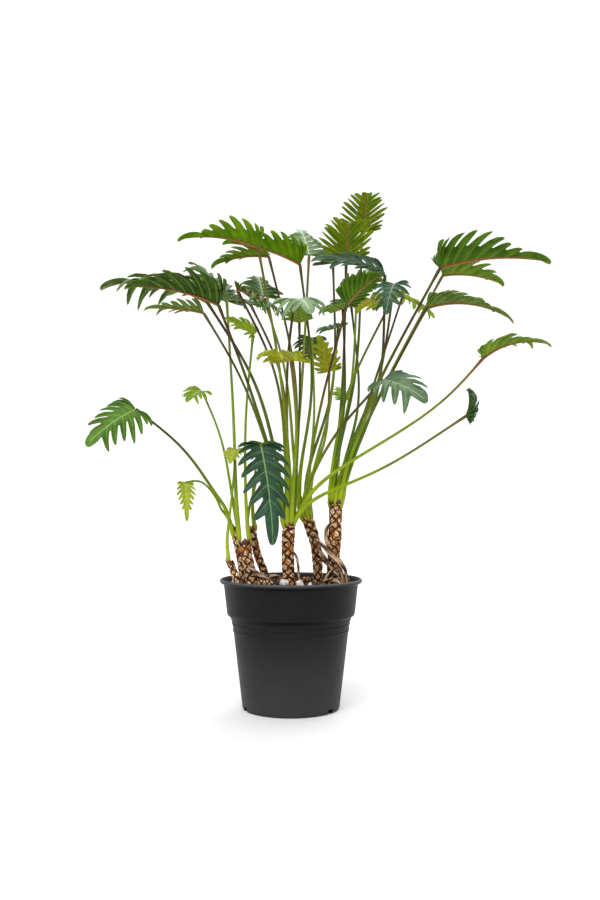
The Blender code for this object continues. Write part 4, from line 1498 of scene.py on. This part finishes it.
@dataclass
class Stems:
    """The scarred stems and the dry husks at their crowns."""

    scar: float = 0.0150
    relief: float = 0.0014
    buried: float = 0.02
    proud: float = 0.0015
    husk_wall: float = 0.0005

    def build(self) -> None:
        """Build and dress every stem and its husks."""
        bark, husk = BarkFinish().made(), HuskFinish().made()
        for stem in STEMS:
            self._stem(stem, bark)
            self._husks(stem, husk)

    def _stem(self, stem: Stem, bark: bpy.types.Material) -> None:
        """Build one stem.

        Args:
            stem: The stem's plan.
            bark: Its material.
        """
        foot, middle = Vector(stem.foot), Vector(stem.middle)
        start = foot - (middle - foot).normalized() * self.buried
        end = stem.crown + Vector((0, 0, self.proud))
        line = evenly(curved([start, foot, middle, end], 12), 120)
        length = sum((b - a).length for a, b in zip(line, line[1:]))
        turns = max(3, round(TURN * (stem.low + stem.high) / 2 / self.scar))
        rows = length / self.scar
        seed = ord(stem.letter) * 1.7

        def radius(around: float, share: float) -> float:
            """The stem's radius.

            Args:
                around: The turn, from 0 to 1.
                share: The place up the stem, from 0 to 1.

            Returns:
                The radius, with the scars' cushions and an eased crown.
            """
            smooth = stem.low + (stem.high - stem.low) * share
            cell = self._cushion(around * turns, share * rows)
            swell = 0.10 * noise.noise(Vector((seed, share * 6, 0)))
            rough = 0.05 * noise.noise(ring(around * TURN, 2.0, share * 30) + Vector((seed, 0, 0)))
            cap = math.sqrt(max(0.0, 1 - max(0.0, (share - 0.97) / 0.03) ** 2)) * 0.6 + 0.4
            return smooth * (0.97 + swell + rough) * cap + self.relief * (cell - 0.6)

        tube = Tube(line, radius, 72, rows, turns)
        piece(f"trunk_{stem.letter}", mesh_of(tube.made(), "trunk"), [bark], [f"stem_{stem.letter}"])

    @staticmethod
    def _cushion(across: float, along: float) -> float:
        """Height of a diamond cushion, from 0 in the grooves to 1.

        Args:
            across: Cells round the stem.
            along: Cells up the stem.

        Returns:
            The height.
        """
        reach = abs(across % 1.0 - 0.5) * 2 + abs(along % 1.0 - 0.5) * 2
        edge = min(reach, 2 - reach)
        return 1.0 - max(0.0, (edge - 0.45) / 0.55) ** 1.5 - 0.2 * max(0.0, 0.35 - edge)

    def _husks(self, stem: Stem, husk: bpy.types.Material) -> None:
        """Build the dry husks round a crown.

        Args:
            stem: The stem's plan.
            husk: Their material.
        """
        chance = random.Random(ord(stem.letter) * 13)
        whole = bmesh.new()
        count = 7 if stem.high > 0.0085 else 4
        for number in range(count):
            out = ring(TURN * (number + chance.uniform(0.1, 0.7)) / count, 1.0)
            reach = stem.high + (0.0014 if number % 2 else 0.0008)
            absorb(whole, self._scale(stem, out, reach, chance))
        piece(f"husks_{stem.letter}", mesh_of(whole, "husks"), [husk])

    def _scale(self, stem: Stem, out: Vector, reach: float, chance: random.Random) -> bmesh.types.BMesh:
        """One pointed husk.

        Args:
            stem: The stem's plan.
            out: The husk's side of the stem.
            reach: How far the husk stands from the stem's middle.
            chance: The source of its variation.

        Returns:
            The closed husk.
        """
        up = stem.up
        foot = stem.crown - up * 0.006
        tall = chance.uniform(0.008, 0.022)
        wide = chance.uniform(0.25, 0.6)
        flare = chance.uniform(0.0008, 0.005)
        side = up.cross(out)

        def place(turn: float, rise: float) -> Vector:
            """A point of the husk's skin.

            Args:
                turn: From 0 to 1 across its outside, and on to 2 back across its inside.
                rise: From its foot, 0, to its tip, 1.

            Returns:
                The point.
            """
            inner = turn > 1.0
            across = (2.0 - turn if inner else turn) * 2 - 1
            angle = across * wide * (1 - rise**1.6) * 0.9
            far = reach + flare * rise * rise - (self.husk_wall if inner else 0.0)
            return foot + up * (rise * tall) + out * math.cos(angle) * far + side * math.sin(angle) * far

        return closed(gridded(spread(17, 0.0, 2.0), spread(7), place, PLAIN_CHARTS))


@dataclass
class Roots:
    """The bare roots, some of them twisted strands, and the creeping stems."""

    def build(self) -> None:
        """Build and dress every root."""
        skin, bark = RootFinish().made(), bpy.data.materials["scarred_bark"]
        for number, plan in enumerate(ROOTS):
            creeping = plan.name.startswith("runner")
            whole = bmesh.new()
            for strand in range(plan.strands):
                absorb(whole, self._strand(plan, strand, number, creeping).made())
            nodes = [] if plan.name.startswith("side") else [plan.name]
            piece(f"bare_{plan.name}", mesh_of(whole, "root"), [bark if creeping else skin], nodes)

    @staticmethod
    def _strand(plan: Root, strand: int, number: int, creeping: bool) -> Tube:
        """One strand of a root.

        Args:
            plan: The root's plan.
            strand: The strand's number.
            number: The root's number.
            creeping: Whether it is a creeping stem with closed ends.

        Returns:
            The strand's tube.
        """
        line = evenly(curved([Vector(point) for point in plan.route], 10), 44)
        share = 0.0 if plan.strands == 1 else plan.radius * (0.42 if strand == 0 else -0.75)
        size = plan.radius * (1.0 if plan.strands == 1 else 0.78 if strand == 0 else 0.6)
        last = len(line) - 1
        for spot, point in enumerate(line):
            turn = 5.5 * spot / last + number
            wide = share * math.sin(math.pi * min(0.15 + spot / last, 1.0))
            line[spot] = point + Vector((math.cos(turn), 0.4 * math.sin(turn), math.sin(turn))) * wide
        seed = number * 3.1 + strand * 11.7

        def radius(around: float, along: float) -> float:
            """The strand's radius.

            Args:
                around: The turn, from 0 to 1.
                along: The place along the strand, from 0 to 1.

            Returns:
                The radius, wavy and ridged.
            """
            wave = noise.noise(Vector((along * 9, seed, math.cos(around * TURN))))
            ridge = 0.10 * math.cos(TURN * (3 * around + 2.5 * along))
            ends = math.sqrt(max(0.0, 1 - (2 * along - 1) ** 8)) if creeping else 1.0
            return size * (1 + 0.25 * wave + ridge) * max(ends, 0.25)

        return Tube(line, radius, 18, 4.0, 3.0 if creeping else 1.0)


@dataclass
class Ground:
    """The soil's surface, its crumbs and the stones that lie on it."""

    rings: int = 40
    sides: int = 120
    depth: float = 0.03
    tuck: float = 0.93

    def build(self) -> None:
        """Build and dress the soil, the crumbs and the stones."""
        low, high = (Vector(corner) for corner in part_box("soil"))
        peat = SoilFinish().made()
        self.top, self.reach = high.z, (high.x - low.x) / 2
        piece("potting_soil", mesh_of(self._soil(low.z), "soil"), [peat], ["soil"])
        chips = RootFinish("bark_chips", (0.24, 0.115, 0.06), (0.05, 0.02, 0.011)).made()
        chalk = StoneFinish().made()
        piece("soil_crumbs", self._crumbs(900, 5, (0.0009, 0.0030)), [peat])
        piece("bark_bits", self._crumbs(120, 9, (0.0015, 0.0042)), [chips])
        piece("pale_grit", self._crumbs(40, 21, (0.0008, 0.0022)), [chalk])
        for number in range(1, 5):
            self._stone(f"stone_{number}", chalk, number)

    def height(self, x: float, y: float) -> float:
        """The soil's height at a place.

        Args:
            x: The place's first coordinate.
            y: Its second coordinate.

        Returns:
            The height, lumpy and a little lower at the wall.
        """
        lump = noise.noise(Vector((x * 45, y * 45, 1.0))) * 0.0018
        crumb = noise.noise(Vector((x * 160, y * 160, 4.0))) * 0.0012
        edge = max(0.0, (math.hypot(x, y) / self.reach - 0.86) / 0.14)
        return self.top + (lump + crumb) - 0.0012 * edge

    def _soil(self, floor: float) -> bmesh.types.BMesh:
        """The soil's closed body.

        Args:
            floor: Its lowest level, which nothing shows.

        Returns:
            The body.
        """
        def place(turn: float, reach: float) -> Vector:
            """A point of the soil's skin.

            Args:
                turn: The turn, from 0 to 1.
                reach: From the middle, 0, to the wall, 1, and past it for the sunk rim.

            Returns:
                The point.
            """
            spot = ring(turn * TURN, min(reach, 1.0) * self.reach)
            if reach <= 1.0:
                return Vector((spot.x, spot.y, self.height(spot.x, spot.y)))
            return Vector((spot.x * self.tuck, spot.y * self.tuck, max(self.top - self.depth, floor)))

        rows = [*spread(self.rings), 1.001]
        turns = [number / self.sides for number in range(self.sides)] + [0.0]
        return closed(gridded(turns, rows, place, PLAIN_CHARTS))

    def _crumbs(self, count: int, seed: int, sizes: tuple[float, float]) -> bpy.types.Mesh:
        """Many small lumps on the soil.

        Args:
            count: How many.
            seed: The seed of their places.
            sizes: Their smallest and largest radius.

        Returns:
            The lumps' mesh.
        """
        chance = random.Random(seed)
        whole = charted()
        for _ in range(count):
            far = self.reach * 0.955 * math.sqrt(chance.random())
            spot = ring(chance.uniform(0, TURN), far)
            size = chance.uniform(*sizes)
            turned = Matrix.Rotation(chance.uniform(0, 6.28), 4, "Z")
            tipped = Matrix.Rotation(chance.uniform(0, 3.1), 4, "X")
            wide, tall = size * chance.uniform(0.6, 1.0), size * chance.uniform(0.45, 0.8)
            shift = Matrix.Translation((spot.x, spot.y, self.height(spot.x, spot.y) + size * 0.25))
            matrix = shift @ turned @ tipped @ Matrix.Diagonal((size, wide, tall, 1.0))
            lump = bmesh.ops.create_icosphere(whole, subdivisions=1, radius=1.0, matrix=matrix)
            for corner in lump["verts"]:
                corner.co += Vector([chance.uniform(-0.22, 0.22) * size for _ in range(3)])
        return mesh_of(whole, "crumbs")

    def _stone(self, node: str, chalk: bpy.types.Material, seed: int) -> None:
        """Build one stone in its solid's box.

        Args:
            node: The solid's name.
            chalk: Its material.
            seed: The seed of its shape.
        """
        low, high = (Vector(corner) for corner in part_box(node))
        middle, half = (low + high) / 2, (high - low) / 2
        chance = random.Random(seed)
        flats = [Vector([chance.uniform(-1, 1) for _ in range(3)]).normalized() for _ in range(11)]
        bm = charted()
        bmesh.ops.create_icosphere(bm, subdivisions=5, radius=1.0)
        for corner in bm.verts:
            way = corner.co.normalized()
            cut = min([1.16] + [0.76 / way.dot(flat) for flat in flats if way.dot(flat) > 0.4])
            lump = cut + 0.10 * noise.noise(way * 2.5 + Vector((seed * 5, 0, 0)))
            corner.co = middle + Vector([way[axis] * half[axis] * lump for axis in range(3)])
        piece(f"pale_{node}", mesh_of(bm, "stone"), [chalk], [node])


@dataclass
class Pot:
    """The nursery pot, turned from its profile."""

    wall: float = 0.0016
    lip: float = 0.0093
    steps: int = 128
    ease: float = 0.0009
    weld: float = 0.00001
    crease: float = 38.0
    holes: int = 3
    hole_turn: float = -37.0
    hole_radius: float = 0.007
    hole_depth: float = 0.016
    hole_reach: float = 0.672

    def build(self) -> None:
        """Build and dress the pot."""
        low, high = (Vector(corner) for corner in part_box("pot"))
        self.reach, self.tall = (high.x - low.x) / 2, high.z
        bm = bmesh.new()
        profile = self._rounded(self._profile())
        corners = [bm.verts.new((r, 0.0, z)) for r, z in profile]
        edges = [bm.edges.new(pair) for pair in zip(corners, corners[1:])]
        bmesh.ops.spin(bm, geom=corners + edges, cent=(0, 0, 0), axis=(0, 0, 1), dvec=(0, 0, 0), angle=TURN,
                       steps=self.steps, use_merge=True, use_duplicate=False)
        bmesh.ops.remove_doubles(bm, verts=bm.verts, dist=self.weld)
        bmesh.ops.recalc_face_normals(bm, faces=bm.faces)
        made = piece("nursery_pot", mesh_of(bm, "pot"), [PotFinish(high.z).made()], ["pot"])
        self._notch(made)
        made.data.set_sharp_from_angle(angle=math.radians(self.crease))

    def _profile(self) -> list[tuple[float, float]]:
        """Draw the profile, from the middle of the inner floor over the lip to the middle of the base.

        Returns:
            Each corner's distance from the middle and its height.
        """
        r, h, wall = self.reach, self.tall, self.wall
        inner = ((0.660, wall), (0.686, 0.026 * h), (0.804, 0.597 * h), (0.838, 0.706 * h),
                 (0.898, 0.740 * h), (0.944, h - self.lip - 0.001))
        lip = ((0.0052, 0.0040), (0.0045, 0.0012), (0.0038, 0.0), (0.0016, 0.0), (0.0, 0.0020), (0.0, 0.0044),
               (0.0012, 0.0064), (0.0042, 0.0076))
        body = ((0.944, 1 - self.lip / h), (0.900, 0.740), (0.888, 0.722), (0.852, 0.708), (0.8270, 0.664),
                (0.8320, 0.660), (0.8310, 0.654), (0.8210, 0.650), (0.8150, 0.614), (0.8205, 0.610),
                (0.8195, 0.604), (0.8080, 0.600), (0.6850, 0.020), (0.6700, 0.0))
        inside = [(r * share - wall, z) for share, z in inner]
        over = [(r - inset, h - drop) for inset, drop in lip]
        outside = [(r * share, h * rise) for share, rise in body]
        return [(0.0, wall), *inside, *over, *outside, (0.0, 0.0)]

    @staticmethod
    def _rounded(profile: list[tuple[float, float]]) -> list[tuple[float, float]]:
        """The profile with every corner eased.

        Args:
            profile: The sharp profile.

        Returns:
            The eased profile.
        """
        found = [profile[0]]
        for before, here, after in zip(profile, profile[1:], profile[2:]):
            a, b, c = (Vector((*point, 0.0)) for point in (before, here, after))
            reach = min(Pot.ease, (a - b).length * 0.35, (c - b).length * 0.35)
            start, end = b + (a - b).normalized() * reach, b + (c - b).normalized() * reach
            for t in (0.0, 0.33, 0.67, 1.0):
                point = start.lerp(b, t).lerp(b.lerp(end, t), t)
                found.append((point.x, point.y))
        return [*found, profile[-1]]

    def _notch(self, pot: bpy.types.Object) -> None:
        """Cut the drain holes into the pot's foot.

        Args:
            pot: The pot, whose mesh is replaced by the cut one.
        """
        bm = bmesh.new()
        for number in range(self.holes):
            turn = math.radians(self.hole_turn + 360.0 / self.holes * number)
            shift = Matrix.Translation(ring(turn, self.reach * self.hole_reach))
            bmesh.ops.create_cone(bm, cap_ends=True, segments=32, radius1=self.hole_radius,
                                  radius2=self.hole_radius, depth=self.hole_depth, matrix=shift)
        tool = shown("drain_tool", mesh_of(bm, "drain"))
        cut = pot.modifiers.new("drain", "BOOLEAN")
        cut.operation, cut.solver, cut.object = "DIFFERENCE", "EXACT", tool
        made = evaluated(pot)
        pot.modifiers.clear()
        pot.data = made
        bpy.data.objects.remove(tool)


@dataclass
class Studio:
    """The pale floor, the soft lights and the camera."""

    glow: float = 0.5
    backdrop: float = 1.1
    floor: float = 60.0
    lens: float = 40.72
    lift: float = 0.0344
    eye: Point = (0.0152, -1.72, 0.383)

    def build(self) -> None:
        """Set up the floor, the lights, the sky and the camera."""
        self._floor()
        self._sky()
        self._light("main", "SUN", (-0.18, -0.80, 0.85), 2.3).angle = math.radians(50.0)
        self._light("top", "SUN", (0.03, 0.32, 1.0), 1.5).angle = math.radians(60.0)
        self._light("back", "AREA", (0.9, 2.4, 2.2), 24.0, (0.0, 0.0, 0.5)).size = 2.0
        self._camera()

    def _floor(self) -> None:
        """Lay the floor."""
        bm = bmesh.new()
        bmesh.ops.create_grid(bm, x_segments=1, y_segments=1, size=self.floor)
        floor = shown("floor", mesh_of(bm, "floor", False))
        floor.data.materials.append(FloorFinish().made())

    def _sky(self) -> None:
        """Light the room evenly, and show it white."""
        world = bpy.data.worlds.new("studio")
        world.use_nodes = True
        tree = world.node_tree
        back = tree.nodes["Background"]
        back.inputs["Color"].default_value = (1.0, 1.0, 1.0, 1.0)
        path = tree.nodes.new("ShaderNodeLightPath")
        level = tree.nodes.new("ShaderNodeMapRange")
        level.inputs["To Min"].default_value = self.glow
        level.inputs["To Max"].default_value = self.backdrop
        tree.links.new(path.outputs["Is Camera Ray"], level.inputs["Value"])
        tree.links.new(level.outputs["Result"], back.inputs["Strength"])
        bpy.context.scene.world = world
        bpy.context.scene.view_settings.view_transform = "Standard"

    def _light(self, name: str, kind: str, at: Point, power: float,
               aim: Point = (0.0, 0.0, 0.0)) -> bpy.types.Light:
        """Add a soft light.

        Args:
            name: Its name.
            kind: Its type.
            at: Its place, or a direction for a sun.
            power: Its strength.
            aim: Where it points.

        Returns:
            The light's data, for its size.
        """
        lamp = bpy.data.lights.new(name, kind)
        lamp.energy = power
        made = shown(name, lamp)
        made.location = at
        made.rotation_euler = (Vector(aim) - Vector(at)).to_track_quat("-Z", "Y").to_euler()
        return lamp

    def _camera(self) -> None:
        """Set the camera level, a little above the pot's rim."""
        camera = bpy.data.cameras.new("camera")
        camera.lens, camera.sensor_width, camera.shift_y = self.lens, 36.0, self.lift
        made = shown("camera", camera)
        made.location = self.eye
        made.rotation_euler = (math.radians(90), 0.0, 0.0)
        bpy.context.scene.camera = made


def main() -> None:
    """Build the model's looks in order."""
    logging.basicConfig(level=logging.INFO, format="%(message)s")
    Pot().build()
    Ground().build()
    Stems().build()
    Roots().build()
    Foliage().build()
    Studio().build()


if __name__ == "__main__":
    main()
